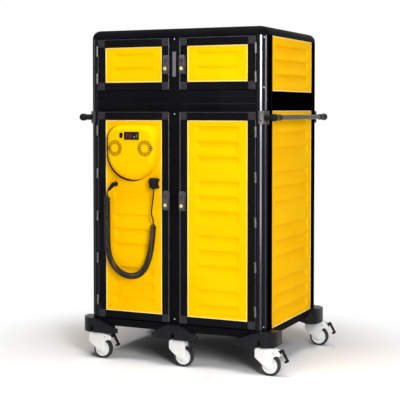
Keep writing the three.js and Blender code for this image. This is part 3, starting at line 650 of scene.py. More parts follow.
WALL_X = 0.472
WALL_WIDTH = 0.58
WALL_THICKNESS = 0.03
REAR_Y = 0.379
REAR_WIDTH = 0.8544
SKIN_THICKNESS = 0.033
wall_ribs = {"lower": rib_groups(1220, (3, 3, 3, 3)), "upper": [1567, 1497, 1427]}
wall_spans = {"lower": (POST_BOTTOM, BELT_LOW), "upper": (BELT_HIGH, ROOF_BOTTOM - FACE_GAP)}
for level, (bottom, top) in wall_spans.items():
    tops = [z / 1000 - bottom for z in wall_ribs[level]]
    for side, sign in (("left", -1), ("right", 1)):
        there = Matrix.Translation((sign * WALL_X, 0, bottom)) @ Matrix.Rotation(sign * math.pi / 2, 4, "Z")
        ribbed_panel(f"end_panel_{side}_{level}", f"side_panel_{side}_{level}", WALL_WIDTH, top - bottom,
                     WALL_THICKNESS, tops, WALL_RIB_DEPTH, there, CABINET)
    there = Matrix.Translation((0, REAR_Y, bottom)) @ Matrix.Rotation(math.pi, 4, "Z")
    ribbed_panel(f"rear_panel_{level}", f"back_panel_{level}", REAR_WIDTH, top - bottom,
                 SKIN_THICKNESS, tops, WALL_RIB_DEPTH, there, CABINET)

DOOR_INNER = 0.0285
DOOR_OUTER = 0.4255
WINDOW_INNER = 0.068
WINDOW_OUTER = 0.384
DOOR_BACK = -0.344
door_levels = {
    "lower": {
        "bottom": 0.2125, "top": 1.248, "window": (0.2475, 1.206),
        "hinges": (0.300, 0.512, 0.725, 0.939, 1.153), "latch": (0.768, 0.092),
    },
    "upper": {
        "bottom": 1.354, "top": 1.607, "window": (1.391, 1.566),
        "hinges": (1.413, 1.548), "latch": (1.435, 0.087),
    },
}
door_ribs = {
    "lower_left": [850, 737, 664, 590, 471, 398, 325],
    "lower_right": rib_groups(1177, (3, 3, 3, 2)),
    "upper_left": [1534, 1465],
    "upper_right": [1534, 1465],
}
doors = [
    (f"{level}_{side}", level, sign)
    for level in door_levels
    for side, sign in (("left", -1), ("right", 1))
]
for key, level, sign in doors:
    low, high = door_levels[level]["window"]
    bottom = low + FACE_GAP
    tops = [z / 1000 - bottom for z in door_ribs[key]]
    there = Matrix.Translation((sign * (WINDOW_INNER + WINDOW_OUTER) / 2, PANEL_FACE, bottom))
    ribbed_panel(f"door_skin_{key}", f"door_panel_{key}", WINDOW_OUTER - WINDOW_INNER - 2 * FACE_GAP,
                 high - low - 2 * FACE_GAP, SKIN_THICKNESS, tops, DOOR_RIB_DEPTH[level], there, f"door_{key}")

# ---------------------------------------------------------------------------
# Door frames. Black extruded stiles and rails, joined by moulded corner pieces and
# edged with a drawn bead, with a rubber seal and a flat liner on the inside.
for key, level, sign in doors:
    softened(f"door_frame_{key}", f"door_ring_{key}", satin_black, edge=0.0014)

# Bright-drawn trim: a mid-grey aluminium bead, lightly rubbed.
drawn_trim = grained_finish(
    "bright_drawn_trim", "#7A7876", "#5E5C5B", blotch=0.035, grain=0.0010, relief=0.00004,
    roughness=(0.28, 0.42), settings={"Metallic": 1.0})

# Places of the beads: inner stile, outer stile and top rail.
BEAD_Y = -FRONT_Y - 0.0002
BEAD_INNER_X = DOOR_INNER + 0.0016
BEAD_OUTER_X = DOOR_OUTER - 0.0014
for key, level, sign in doors:
    size = door_levels[level]
    bm = bmesh.new()
    for x, radius in ((BEAD_INNER_X, 0.0013), (BEAD_OUTER_X, 0.0007)):
        start = (sign * x, BEAD_Y, size["bottom"] + 0.003)
        rod(bm, start, (sign * x, BEAD_Y, size["top"] - 0.003), radius, 14)
    top = size["top"] - 0.0026
    rod(bm, (sign * BEAD_INNER_X, BEAD_Y, top), (sign * BEAD_OUTER_X, BEAD_Y, top), 0.0006, 14)
    piece(f"door_beads_{key}", bm, drawn_trim, f"door_{key}")

# Glass-filled nylon: charcoal, matt, with a coarse spark-eroded grain.
filled_nylon = grained_finish(
    "glass_filled_nylon_charcoal", "#28262B", "#353338", blotch=0.02, grain=0.0016, relief=0.00010,
    roughness=(0.45, 0.62), settings={"IOR": 1.54, "Specular IOR Level": 0.1})

# Extruded rubber seal: grey-black and matt, slightly chalky.
seal_rubber = grained_finish(
    "extruded_seal_rubber", "#26262A", "#323236", blotch=0.05, grain=0.0014, relief=0.00012,
    roughness=(0.6, 0.78), settings={"IOR": 1.48})

# Smooth ABS liner: pale warm grey, wiped clean, with a low sheen.
liner_abs = grained_finish(
    "pressed_abs_liner_grey", "#B9BCC0", "#AEB1B6", blotch=0.15, grain=0.004, relief=0.00008,
    roughness=(0.34, 0.5), settings={"IOR": 1.52})


def flat_ring(bm, x0, x1, z0, z1, bar, y0, y1):
    """A rectangular ring of flat bars between two depths."""
    box(bm, (x0, y0, z0), (x1, y1, z0 + bar))
    box(bm, (x0, y0, z1 - bar), (x1, y1, z1))
    box(bm, (x0, y0, z0 + bar), (x0 + bar, y1, z1 - bar))
    box(bm, (x1 - bar, y0, z0 + bar), (x1, y1, z1 - bar))


CORNER_PIECE = 0.0395
CORNER_INSET = 0.0008
CORNER_RIB_INSET = 0.006
CORNER_RIB_PITCH = 0.0095
SEAL_INSET = 0.0075
LINER_INSET = 0.001
LINER_BEAD_INSET = 0.022
for key, level, sign in doors:
    size = door_levels[level]
    low, high = size["window"]
    x0, x1 = sorted((sign * DOOR_INNER, sign * DOOR_OUTER))
    bm = bmesh.new()
    for x in (x0, x1 - CORNER_PIECE):
        for z in (size["bottom"], size["top"] - CORNER_PIECE):
            box(bm, (x + CORNER_INSET, -FRONT_Y - 0.0009, z + CORNER_INSET),
                (x + CORNER_PIECE - CORNER_INSET, -FRONT_Y + 0.0006, z + CORNER_PIECE - CORNER_INSET))
            for rib in range(3):
                offset = 0.009 + CORNER_RIB_PITCH * rib
                box(bm, (x + CORNER_RIB_INSET, -FRONT_Y - 0.0014, z + offset),
                    (x + CORNER_PIECE - CORNER_RIB_INSET, -FRONT_Y - 0.0005, z + offset + 0.0032))
    piece(f"door_corners_{key}", bm, filled_nylon, f"door_{key}", edge=0.0005)
    bm = bmesh.new()
    flat_ring(bm, x0 + 0.0035, x1 - 0.019, size["bottom"] + SEAL_INSET, size["top"] - SEAL_INSET, 0.009,
              DOOR_BACK - 0.0005, DOOR_BACK + 0.0018)
    piece(f"door_seal_{key}", bm, seal_rubber, f"door_{key}", edge=0.0008, rounds=3)
    w0, w1 = sorted((sign * WINDOW_INNER, sign * WINDOW_OUTER))
    bm = bmesh.new()
    box(bm, (w0 + LINER_INSET, DOOR_BACK - 0.0019, low + LINER_INSET),
        (w1 - LINER_INSET, DOOR_BACK - 0.0004, high - LINER_INSET))
    inset = LINER_BEAD_INSET
    flat_ring(bm, w0 + inset, w1 - inset, low + inset, high - inset,
              0.006, DOOR_BACK - 0.0006, DOOR_BACK + 0.0008)
    piece(f"door_liner_{key}", bm, liner_abs, f"door_{key}", edge=0.0004)

# ---------------------------------------------------------------------------
# Hinges. Short stainless butt hinges: one knuckle on the door, one on the post, and
# a pin through both; each leaf is held by two screws beside its knuckle.
HINGE_X = 0.4265
HINGE_Y = -0.3872
KNUCKLE = 0.0246
KNUCKLE_RADIUS = 0.0047
KNUCKLE_GAP = 0.0002
PIN_HEAD = 0.0016
SCREW_REACH = 0.00615
SCREW_INSET = 0.0055

# Stainless steel: drawn pin and rolled leaves, bright, lightly scuffed.
hinge_steel = grained_finish(
    "rolled_stainless_steel", "#7C7976", "#64615E", blotch=0.012, grain=0.0012, relief=0.00005,
    roughness=(0.26, 0.4), settings={"Metallic": 1.0})


def hinge_half(bm, sign, z0, towards):
    """A knuckle, and the two screws in the black leaf beside it. The leaf points
    towards the post (1) or the door (-1)."""
    rod(bm, (sign * HINGE_X, HINGE_Y, z0), (sign * HINGE_X, HINGE_Y, z0 + KNUCKLE), KNUCKLE_RADIUS, 24)
    x = sign * (HINGE_X + towards * SCREW_REACH)
    for z in (z0 + SCREW_INSET, z0 + KNUCKLE - SCREW_INSET):
        rod(bm, (x, HINGE_Y - 0.0017, z), (x, HINGE_Y, z), 0.0019, 16, 0.0021)


for key, level, sign in doors:
    bm = bmesh.new()
    pins = bmesh.new()
    for z in door_levels[level]["hinges"]:
        hinge_half(bm, sign, z + KNUCKLE_GAP, -1)
        pin_end = z - KNUCKLE
        head = (sign * HINGE_X, HINGE_Y, pin_end - PIN_HEAD)
        rod(pins, head, (sign * HINGE_X, HINGE_Y, pin_end), 0.0032, 20)
        hinge_half(pins, sign, pin_end - KNUCKLE_GAP, 1)
    piece(f"hinge_leaves_{key}", bm, hinge_steel, f"door_{key}", edge=0.0005)
    piece(f"hinge_posts_{key}", pins, hinge_steel, CABINET, edge=0.0005)

# ---------------------------------------------------------------------------
# Pull latches. Die-cast zinc levers painted grey, hinged at the top, each in a thin
# drawn surround, with three finger grooves above and a brass lock barrel below.
LATCH_X = 0.0435
LATCH_FACE = -FRONT_Y - FACE_GAP
BARREL_HEIGHT = 0.022
GROOVE_PITCH = 0.006
GROOVE_HALF = 0.009
KEYHOLE_HALF = 0.0008
SURROUND_HALF = 0.0165
SURROUND_BAR = 0.0020
SURROUND_FRONT = -FRONT_Y - 0.0022
SURROUND_BACK = -FRONT_Y + 0.0004

# Stove-enamelled zinc casting: mid grey with a violet cast, slightly pebbled.
grey_enamel = grained_finish(
    "stove_enamelled_zinc_grey", "#4C494E", "#403D42", blotch=0.03, grain=0.0015, relief=0.00008,
    roughness=(0.32, 0.46), settings={"IOR": 1.5, "Metallic": 0.15, "Specular IOR Level": 0.3})

# Turned brass: pale yellow, bright, with a fine tool-marked grain.
turned_brass = grained_finish(
    "turned_brass_pale", "#E8DF94", "#D6CB7A", blotch=0.006, grain=0.0006, relief=0.00004,
    roughness=(0.3, 0.42), settings={"Metallic": 0.25, "IOR": 1.5})

for key, level, sign in doors:
    bottom, height = door_levels[level]["latch"]
    centre_x = sign * LATCH_X
    softened(f"latch_{key}", f"latch_lever_{key}", grey_enamel, edge=0.0022, rounds=3)
    bm = bmesh.new()
    for near, far, radius, sides in ((0.0148, 0.0168, 0.0086, 32), (0.0166, 0.0172, 0.0056, 28)):
        rod(bm, (centre_x, LATCH_FACE - near, bottom + BARREL_HEIGHT),
            (centre_x, LATCH_FACE - far, bottom + BARREL_HEIGHT), radius, sides)
    piece(f"lock_barrel_{key}", bm, turned_brass, f"latch_{key}", edge=0.0004)
    bm = bmesh.new()
    for groove in range(3):
        z = bottom + height - 0.022 - groove * GROOVE_PITCH
        box(bm, (centre_x - GROOVE_HALF, LATCH_FACE - 0.0134, z),
            (centre_x + GROOVE_HALF, LATCH_FACE - 0.0128, z + 0.0024))
    box(bm, (centre_x - KEYHOLE_HALF, LATCH_FACE - 0.0178, bottom + 0.0188),
        (centre_x + KEYHOLE_HALF, LATCH_FACE - 0.0171, bottom + 0.0252))
    piece(f"latch_grip_{key}", bm, black_moulding, f"latch_{key}", edge=0.0002)
    bm = bmesh.new()
    low_bar = bottom - 0.003
    side_low = low_bar + 0.0022
    left_x, right_x = centre_x - SURROUND_HALF, centre_x + SURROUND_HALF
    box(bm, (left_x, SURROUND_FRONT, low_bar), (right_x, SURROUND_BACK, side_low))
    for x in (left_x, right_x - SURROUND_BAR):
        box(bm, (x, SURROUND_FRONT, side_low), (x + SURROUND_BAR, SURROUND_BACK, bottom + height - 0.004))
    piece(f"latch_surround_{key}", bm, drawn_trim, f"door_{key}", edge=0.0006)

# ---------------------------------------------------------------------------
# Push handles. An anodised tube along each end wall, in black moulded ends whose
# arms stand on cast saddles, each screwed to its corner post by four screws.
HANDLE_X = 0.515
HANDLE_Z = 1.220
HANDLE_END = 0.393
TUBE_END = HANDLE_END - 0.095
TUBE_RADIUS = 0.0115
ARM_ANGLE = 50
SADDLE_HEIGHT = 0.063

# Tumbled alloy casting: grey, mottled, with a bright broken sparkle.
cast_alloy = grained_finish(
    "tumbled_alloy_casting", "#1B1A1C", "#625F5D", blotch=0.011, grain=0.0030, relief=0.00030,
    roughness=(0.3, 0.5), settings={"Metallic": 0.7})

# Dark grey anodised tube, tinted warm as a painted reflection of the yellow end wall: satin metal with
# drawing lines along it.
tube_anodised_painted_warm = brushed_metal(
    "anodised_tube_grey_painted_warm_reflection", "#1F1A17", "#2F2924", lines=(700, 14, 700), relief=0.00003,
    roughness=(0.26, 0.44))


def turned(bm, profile, centre, axis, steps=48):
    """A profile of (radius, distance along the axis) turned all the way round."""
    centre, axis = Vector(centre), Vector(axis).normalized()
    out = axis.orthogonal().normalized()
    chain = [bm.verts.new(centre + out * r + axis * along) for r, along in profile]
    edges = [bm.edges.new(pair) for pair in zip(chain, chain[1:])]
    bmesh.ops.spin(bm, geom=chain + edges, cent=centre, axis=axis, dvec=(0, 0, 0),
                   angle=2 * math.pi, steps=steps, use_merge=True)
    bmesh.ops.remove_doubles(bm, verts=bm.verts, dist=0.000002)


def saddle_slab(bm, sign_x, sign_y, radii, spread, steps, low, tall):
    """A slab that hugs a corner post, as many degrees to both sides of its diagonal."""
    angles = [45 + spread * (1 - 2 * i / steps) for i in range(steps + 1)]
    plan = [corner_point(sign_x, sign_y, angle, radii[0]) for angle in angles]
    plan += [corner_point(sign_x, sign_y, angle, radii[1]) for angle in reversed(angles)]
    polygon_prism(bm, plan, (0, 0, low), (0, 0, tall))


# A handle's end, as (radius, distance from its tip).
grip_profile = [
    (0, 0), (0.007, 0.0004), (0.012, 0.0022), (0.0162, 0.0062), (0.0179, 0.0115), (0.018, 0.018),
    (0.0168, 0.0188), (0.0168, 0.0207), (0.018, 0.0215), (0.018, 0.028), (0.0172, 0.033),
    (0.0157, 0.040), (0.0147, 0.048), (0.0145, 0.060), (0.0145, 0.084), (0.0152, 0.0855),
    (0.0152, 0.0945), (0.0143, 0.0995), (0.0118, 0.1025), (0.011, 0.1028),
]
grip_profile = [(radius, along - HANDLE_END) for radius, along in grip_profile]
for side, sign in (("left", -1), ("right", 1)):
    bm = bmesh.new()
    rod(bm, (sign * HANDLE_X, -TUBE_END, HANDLE_Z), (sign * HANDLE_X, TUBE_END, HANDLE_Z), TUBE_RADIUS, 40)
    piece(f"handle_tube_{side}", bm, tube_anodised_painted_warm, CABINET, angle=40,
          replaces=(f"handle_{side}",))
    for end, sign_y in (("front", -1), ("back", 1)):
        bm = bmesh.new()
        turned(bm, grip_profile, (sign * HANDLE_X, 0, HANDLE_Z), (0, -sign_y, 0))
        lift = Vector((0, 0, HANDLE_Z))
        root = lift + Vector(corner_point(sign, sign_y, ARM_ANGLE, CORNER_RADIUS + 0.0065))
        rod(bm, root, (sign * HANDLE_X, sign_y * (HANDLE_END - 0.018), HANDLE_Z), 0.0128, 32, 0.0112)
        piece(f"handle_grip_{end}_{side}", bm, black_moulding, CABINET, edge=0.0006,
              angle=35)
        bm = bmesh.new()
        radii = (CORNER_RADIUS + FACE_GAP, CORNER_RADIUS + 0.0083)
        saddle_slab(bm, sign, sign_y, radii, 31, 12, HANDLE_Z - SADDLE_HEIGHT / 2, SADDLE_HEIGHT)
        radii = (CORNER_RADIUS + 0.006, CORNER_RADIUS + 0.0098)
        for height in (-0.022, 0.022):
            saddle_slab(bm, sign, sign_y, radii, 28, 10, HANDLE_Z + height - 0.004, 0.008)
        for angle in (66, 24):
            for height in (-0.0115, 0.0115):
                lift = Vector((0, 0, HANDLE_Z + height))
                start = lift + Vector(corner_point(sign, sign_y, angle, CORNER_RADIUS + 0.006))
                stop = lift + Vector(corner_point(sign, sign_y, angle, CORNER_RADIUS + 0.0102))
                rod(bm, start, stop, 0.0036, 20)
        piece(f"handle_saddle_{end}_{side}", bm, cast_alloy, CABINET, edge=0.0012, rounds=3)

# ---------------------------------------------------------------------------
# Bumpers. Solid moulded rubber wings bolted under the floor slab at each caster,
# with a slot in front of each kingpin.

# Moulded bumper rubber: dark blue-grey, matt, with scuffs that dull it in patches.
bumper_rubber = grained_finish(
    "moulded_bumper_rubber", "#111114", "#19191D", blotch=0.045, grain=0.0018, relief=0.00008,
    roughness=(0.3, 0.46), settings={"IOR": 1.5, "Specular IOR Level": 0.12})

# Places of the six kingpins, one at each bumper.
CASTER_X = 0.452
CASTER_Y = 0.367
caster_places = [
    (f"{end}_{side}", sign_x, sign_y)
    for end, sign_y in (("front", -1), ("back", 1))
    for side, sign_x in (("left", -1), ("centre", 0), ("right", 1))
]
for key, sign_x, sign_y in caster_places:
    softened(f"bumper_{key}", f"bumper_wing_{key}", bumper_rubber, edge=0.005, rounds=3)

# ---------------------------------------------------------------------------
# Casters. White nylon forks that swivel on a kingpin, wheels with a white hub
# and a grey tyre on a bolted axle, and a black foot brake on the corner ones.
TRAIL = 0.045
WHEEL_RADIUS = 0.050
FORK_HALF = 0.023
KINGPIN_BOTTOM = 0.122
KINGPIN_TOP = 0.163
WHEEL_ROOM = 0.054
CHEEK_INSIDE = 0.018
BRAKE_PIN_X = 0.066
BRAKE_PIN_Z = 0.1125
PEDAL_PIVOT_X = 0.091
PEDAL_PIVOT_Z = 0.113

# Moulded nylon: cool white with a slight shine.
white_nylon = grained_finish(
    "moulded_nylon_white", "#EDEDEA", "#E1E2E0", blotch=0.03, grain=0.0020, relief=0.00008,
    roughness=(0.3, 0.44), settings={"IOR": 1.53})

# Thermoplastic rubber tyre: dark grey with dust rubbed into its tread.
tyre_rubber = grained_finish(
    "thermoplastic_tyre_rubber", "#202024", "#2C2C31", blotch=0.015, grain=0.0014, relief=0.00012,
    roughness=(0.46, 0.66), settings={"IOR": 1.5, "Specular IOR Level": 0.3})


def carved(whole, cutter):
    """One bmesh with another cut out of it, as a new bmesh. Both are used up."""
    made = []
    for part in (whole, cutter):
        bmesh.ops.recalc_face_normals(part, faces=part.faces)
        mesh = bpy.data.meshes.new("carving")
        part.to_mesh(mesh)
        part.free()
        made.append(bpy.data.objects.new("carving", mesh))
        bpy.context.collection.objects.link(made[-1])
    cut = made[0].modifiers.new("cut", "BOOLEAN")
    cut.operation = "DIFFERENCE"
    cut.solver = "EXACT"
    cut.object = made[1]
    result = bpy.data.meshes.new_from_object(made[0].evaluated_get(bpy.context.evaluated_depsgraph_get()))
    after = bmesh.new()
    after.from_mesh(result)
    bpy.data.meshes.remove(result)
    for thing in made:
        mesh = thing.data
        bpy.data.objects.remove(thing)
        bpy.data.meshes.remove(mesh)
    return after


def side_prism(bm, outline, half, x, y):
    """A side view drawn out across the caster at its kingpin, to half its width on
    both sides."""
    polygon_prism(bm, [(x + back, y - half, z) for back, z in outline], (0, 0, 0), (0, 2 * half, 0))


def wheel_ring(bm, half_line, hub, steps):
    """A half section and its mirror image, turned round the axle."""
    loop = half_line + [(r, -along) for r, along in reversed(half_line)]
    turned(bm, loop + [loop[0]], hub, (0, 1, 0), steps)


# Side views, as (distance behind the kingpin, height).
fork_leg = [
    (-0.0285, 0.088), (-0.026, 0.0815), (0.006, 0.055), (0.026, 0.0390), (0.036, 0.0345),
    (0.045, 0.033), (0.0535, 0.0362), (0.0595, 0.043), (0.062, 0.054),
]
fork_nose = [(-0.017, 0.131), (-0.0255, 0.1275), (-0.029, 0.118)]
braked_heel = [
    (0.0615, 0.070), (0.0645, 0.0865), (0.072, 0.0945), (0.084, 0.0972), (0.0955, 0.0966),
    (0.0995, 0.101), (0.0965, 0.110), (0.0905, 0.1195), (0.078, 0.1262), (0.060, 0.1300), (0.044, 0.131),
]
plain_heel = [(0.061, 0.080), (0.0585, 0.108), (0.0565, 0.1205), (0.050, 0.128), (0.040, 0.131)]
pedal_outline = [
    (0.0900, 0.1205), (0.1000, 0.1275), (0.1055, 0.1290), (0.1095, 0.1262),
    (0.1335, 0.0800), (0.1260, 0.0760), (0.1030, 0.1165), (0.0960, 0.1060),
]
foot_outline = [
    (0.1185, 0.0690), (0.1175, 0.0745), (0.1300, 0.0785), (0.1345, 0.0790),
    (0.1358, 0.0745), (0.1335, 0.0700), (0.1240, 0.0668),
]
# Half sections of hub and tyre, as (radius, distance from the wheel's middle).
rim_line = [
    (0.0058, -0.0165), (0.0135, -0.0165), (0.0155, -0.0145), (0.0165, -0.0112), (0.0235, -0.0104),
    (0.0262, -0.0104), (0.0268, -0.0092), (0.0286, -0.0092), (0.0292, -0.0106), (0.0340, -0.0108),
    (0.0352, -0.0124), (0.0362, -0.0140), (0.0384, -0.0140), (0.0390, -0.0132),
]
tyre_line = [
    (0.0386, -0.0128), (0.0398, -0.0150), (0.0440, -0.0160), (0.0474, -0.0146), (0.0492, -0.0108),
    (WHEEL_RADIUS, -0.0045),
]
for key, sign_x, sign_y in caster_places:
    braked = sign_x != 0
    x, y = sign_x * CASTER_X, sign_y * CASTER_Y
    axle_x = x + TRAIL
    bm = bmesh.new()
    side_prism(bm, fork_leg + (braked_heel if braked else plain_heel) + fork_nose, FORK_HALF, x, y)
    outer_edges = [e for e in bm.edges if abs(e.verts[0].co.y - e.verts[1].co.y) < 1e-6]
    bmesh.ops.bevel(bm, geom=outer_edges, offset=0.0042, offset_type="OFFSET", segments=4, profile=0.5,
                    affect="EDGES", clamp_overlap=True, material=-1)
    space = bmesh.new()
    rod(space, (axle_x, y - CHEEK_INSIDE, WHEEL_RADIUS), (axle_x, y + CHEEK_INSIDE, WHEEL_RADIUS),
        WHEEL_ROOM, 64)
    if braked:
        box(space, (x + 0.0795, y - 0.0108, 0.090), (x + 0.110, y + 0.0108, 0.140))
    bm = carved(bm, space)
    rod(bm, (x, y, KINGPIN_BOTTOM), (x, y, KINGPIN_TOP), 0.0068, 24)
    rod(bm, (x, y, 0.1305), (x, y, 0.1335), 0.0165, 32, 0.0145)
    piece(f"fork_{key}", bm, white_nylon, f"caster_{key}", angle=28,
          replaces=(f"caster_fork_{key}",))
    bm = bmesh.new()
    for reach in (-1, 1):
        start = y + reach * (FORK_HALF - 0.001)
        stop = start + reach * 0.0036
        rod(bm, (axle_x, start, WHEEL_RADIUS), (axle_x, stop, WHEEL_RADIUS), 0.0086, 32, 0.0066)
    piece(f"axle_cap_{key}", bm, white_nylon, f"caster_{key}", edge=0.0008)
    if braked:
        bm = bmesh.new()
        for reach in (-1, 1):
            start = (x + BRAKE_PIN_X, y + reach * (FORK_HALF - 0.001), BRAKE_PIN_Z)
            rod(bm, start, Vector(start) + Vector((0, reach * 0.0016, 0)), 0.0030, 20)
        piece(f"brake_pin_{key}", bm, hinge_steel, f"caster_{key}", edge=0.0004)
    hub = (axle_x, y, WHEEL_RADIUS)
    bm = bmesh.new()
    wheel_ring(bm, rim_line, hub, 64)
    piece(f"wheel_hub_{key}", bm, white_nylon, f"wheel_{key}", angle=35,
          replaces=(f"caster_wheel_{key}",))
    bm = bmesh.new()
    wheel_ring(bm, tyre_line, hub, 72)
    piece(f"tyre_{key}", bm, tyre_rubber, f"wheel_{key}", angle=40)
    if braked:
        bm = bmesh.new()
        pivot_x = x + PEDAL_PIVOT_X
        rod(bm, (pivot_x, y - 0.0098, PEDAL_PIVOT_Z), (pivot_x, y + 0.0098, PEDAL_PIVOT_Z), 0.0086, 32)
        side_prism(bm, pedal_outline, 0.0072, x, y)
        side_prism(bm, foot_outline, 0.0120, x, y)
        piece(f"pedal_{key}", bm, black_moulding, f"pedal_{key}", edge=0.0018, rounds=3,
              replaces=(f"brake_pedal_{key}",))
        bm = bmesh.new()
        for tread in range(4):
            tread_x = x + 0.1195 + 0.0040 * tread
            tread_z = 0.0760 + 0.0012 * tread
            rod(bm, (tread_x, y - 0.0105, tread_z), (tread_x, y + 0.0105, tread_z), 0.0009, 12)
        piece(f"pedal_tread_{key}", bm, black_moulding, f"pedal_{key}")

# ---------------------------------------------------------------------------
# Thermal unit on the lower left door. A vacuum-formed yellow cover with a soft
# shoulder and two round vents of radial slots; behind the right vent turns a
# black fan. A display with red figures and an oval push button sit above the vents.
UNIT_X = -0.2185
UNIT_Z = 1.0505
UNIT_RADIUS = 0.1405
UNIT_TOP = 1.182
UNIT_CORNER = 0.070
UNIT_DEPTH = 0.057
VENT_OFFSET = 0.083
VENT_Z = 1.068
UNIT_BASE = PANEL_FACE - FACE_GAP
UNIT_FRONT = UNIT_BASE - UNIT_DEPTH
UNIT_WALL = 0.0032
# The shoulder, as (inset from the cover's outline, height above its base).
cover_shoulder = [
    (0, 0), (0.0008, 0.008), (0.0022, 0.018), (0.0046, 0.029), (0.0078, 0.0385),
    (0.0122, 0.0462), (0.0178, 0.0518), (0.0240, 0.0551), (0.0300, 0.0566), (0.0370, UNIT_DEPTH),
]


def arc_points(cx, cy, radius, start, end, steps):
    """Points on an arc, angles in degrees."""
    angles = [math.radians(start + (end - start) * i / steps) for i in range(steps + 1)]
    return [(cx + radius * math.cos(a), cy + radius * math.sin(a)) for a in angles]


def cover_ring(inset, out):
    """The cover's outline at one height: a half circle below, round corners above."""
    corner = UNIT_CORNER - inset
    shoulder = UNIT_TOP - UNIT_CORNER
    offset = UNIT_RADIUS - UNIT_CORNER
    outline = arc_points(UNIT_X, UNIT_Z, UNIT_RADIUS - inset, 180, 360, 44)
    outline += arc_points(UNIT_X + offset, shoulder, corner, 0, 90, 16)
    outline += arc_points(UNIT_X - offset, shoulder, corner, 90, 180, 16)
    return [Vector((x, UNIT_BASE - out, z)) for x, z in outline]


bm = bmesh.new()
outline = [bm.verts.new(point) for point in cover_ring(*cover_shoulder[0])]
for a, b in zip(outline, outline[1:] + outline[:1]):
    bm.edges.new((a, b))
edges = list(bm.edges)
for inset, out in cover_shoulder[1:]:
    raised = bmesh.ops.extrude_edge_only(bm, edges=edges)["geom"]
    new_verts = [item for item in raised if isinstance(item, bmesh.types.BMVert)]
    edges = [item for item in raised if isinstance(item, bmesh.types.BMEdge)
             and item.verts[0] in new_verts and item.verts[1] in new_verts]
    targets = cover_ring(inset, out)
    order = {vert: index for index, vert in enumerate(outline)}
    outline = [None] * len(targets)
    for vert in new_verts:
        neighbours = [edge.other_vert(vert) for edge in vert.link_edges]
        index = next(order[other] for other in neighbours if other in order)
        vert.co = targets[index]
        outline[index] = vert
bm.faces.new(outline)
bmesh.ops.recalc_face_normals(bm, faces=bm.faces)
if sum(face.normal.y for face in bm.faces if len(face.verts) > 8) > 0:
    bmesh.ops.reverse_faces(bm, faces=bm.faces)
bmesh.ops.solidify(bm, geom=bm.faces, thickness=UNIT_WALL)
VENT_SLOTS = 20
slot_outline = [
    (0.0190, -0.0016), (0.0385, -0.0034), (0.0410, -0.0020),
    (0.0410, 0.0020), (0.0385, 0.0034), (0.0190, 0.0016),
]
slots = bmesh.new()
for vent in (-1, 1):
    middle = Matrix.Translation((UNIT_X + vent * VENT_OFFSET, UNIT_FRONT, VENT_Z))
    for index in range(VENT_SLOTS):
        made = polygon_prism(slots, [(x, -0.02, z) for x, z in slot_outline], (0, 0, 0), (0, 0.04, 0))
        turn = Matrix.Rotation(-index * 2 * math.pi / VENT_SLOTS, 4, "Y")
        bmesh.ops.transform(slots, matrix=middle @ turn, verts=made)
# The oval hole that the button stands in.
BUTTON_X = -0.2655
BUTTON_Z = 1.1315
BUTTON_RISE = 0.005
BUTTON_HOLE = 0.0091
button_line = arc_points(BUTTON_X, BUTTON_Z + BUTTON_RISE, BUTTON_HOLE, 0, 180, 16)
button_line += arc_points(BUTTON_X, BUTTON_Z - BUTTON_RISE, BUTTON_HOLE, 180, 360, 16)
polygon_prism(slots, [(x, UNIT_FRONT - 0.01, z) for x, z in button_line], (0, 0, 0), (0, 0.03, 0))
bm = carved(bm, slots)
piece("unit_shell", bm, yellow_abs, DOOR, angle=28, replaces=("unit_cover",))

# Two dark discs behind each vent: painted shade, so that the slots read as dark openings into the unit.
bm = bmesh.new()
for vent in (-1, 1):
    centre = Vector((UNIT_X + vent * VENT_OFFSET, UNIT_FRONT, VENT_Z))
    for near, far, radius in ((0.0012, 0.0022, 0.0345), (0.0060, 0.0066, 0.0420)):
        rod(bm, centre + Vector((0, near, 0)), centre + Vector((0, far, 0)), radius, 48)
piece("vent_shade_discs", bm, black_moulding, DOOR)

# Painted shadow: a thin brown-black matt sheet that the cover stands on. It is shifted down and to the left
# so that it shows below the cover's lower left edge as the cover's shadow on the panel.
painted_shadow_sheet = grained_finish(
    "painted_shadow_brown", "#3E1F06", "#50290A", blotch=0.01, grain=0.0012, relief=0.00012,
    roughness=(0.6, 0.8), settings={"IOR": 1.45, "Specular IOR Level": 0.1})
SHADOW_SHEET_THICKNESS = 0.0024
# The shift puts the painted shadow below and to the left of the cover.
SHADOW_SHIFT = Vector((-0.0162, -SHADOW_SHEET_THICKNESS, -0.0056))
bm = bmesh.new()
shadow_outline = [point + SHADOW_SHIFT for point in cover_ring(-0.0022, 0)]
polygon_prism(bm, shadow_outline, (0, 0, 0), (0, SHADOW_SHEET_THICKNESS, 0))
piece("unit_painted_shadow", bm, painted_shadow_sheet, DOOR, edge=0.0007)

# Fan: seven tilted blades on a hub, moulded in one.
FAN_BLADES = 7
bm = bmesh.new()
blade_plan = [(0.010, -0.004), (0.034, -0.011), (0.0365, 0.002), (0.033, 0.0105), (0.010, 0.0045)]
fan_centre = Vector((UNIT_X + VENT_OFFSET, -0.409, VENT_Z))
rod(bm, fan_centre + Vector((0, -0.007, 0)), fan_centre + Vector((0, 0.007, 0)), 0.012, 40)
rod(bm, fan_centre + Vector((0, -0.0082, 0)), fan_centre + Vector((0, -0.006, 0)), 0.0085, 32)
for index in range(FAN_BLADES):
    made = polygon_prism(bm, [(x, -0.0007, z) for x, z in blade_plan], (0, 0, 0), (0, 0.0014, 0))
    tilt = Matrix.Rotation(math.radians(28), 4, "X")
    around = Matrix.Rotation(index * 2 * math.pi / FAN_BLADES, 4, "Y")
    bmesh.ops.transform(bm, matrix=Matrix.Translation(fan_centre) @ around @ tilt, verts=made)
piece("fan_wheel", bm, black_moulding, "fan_rotor", edge=0.0003, rounds=1,
      replaces=("fan_rotor",))

# Polished acrylic: black, glossy, almost flat, with faint wiping marks.
black_acrylic = grained_finish(
    "polished_acrylic_black", "#070708", "#0B0B0D", blotch=0.02, grain=0.003, relief=0.00001,
    roughness=(0.08, 0.18), settings={"IOR": 1.49, "Specular IOR Level": 0.2})

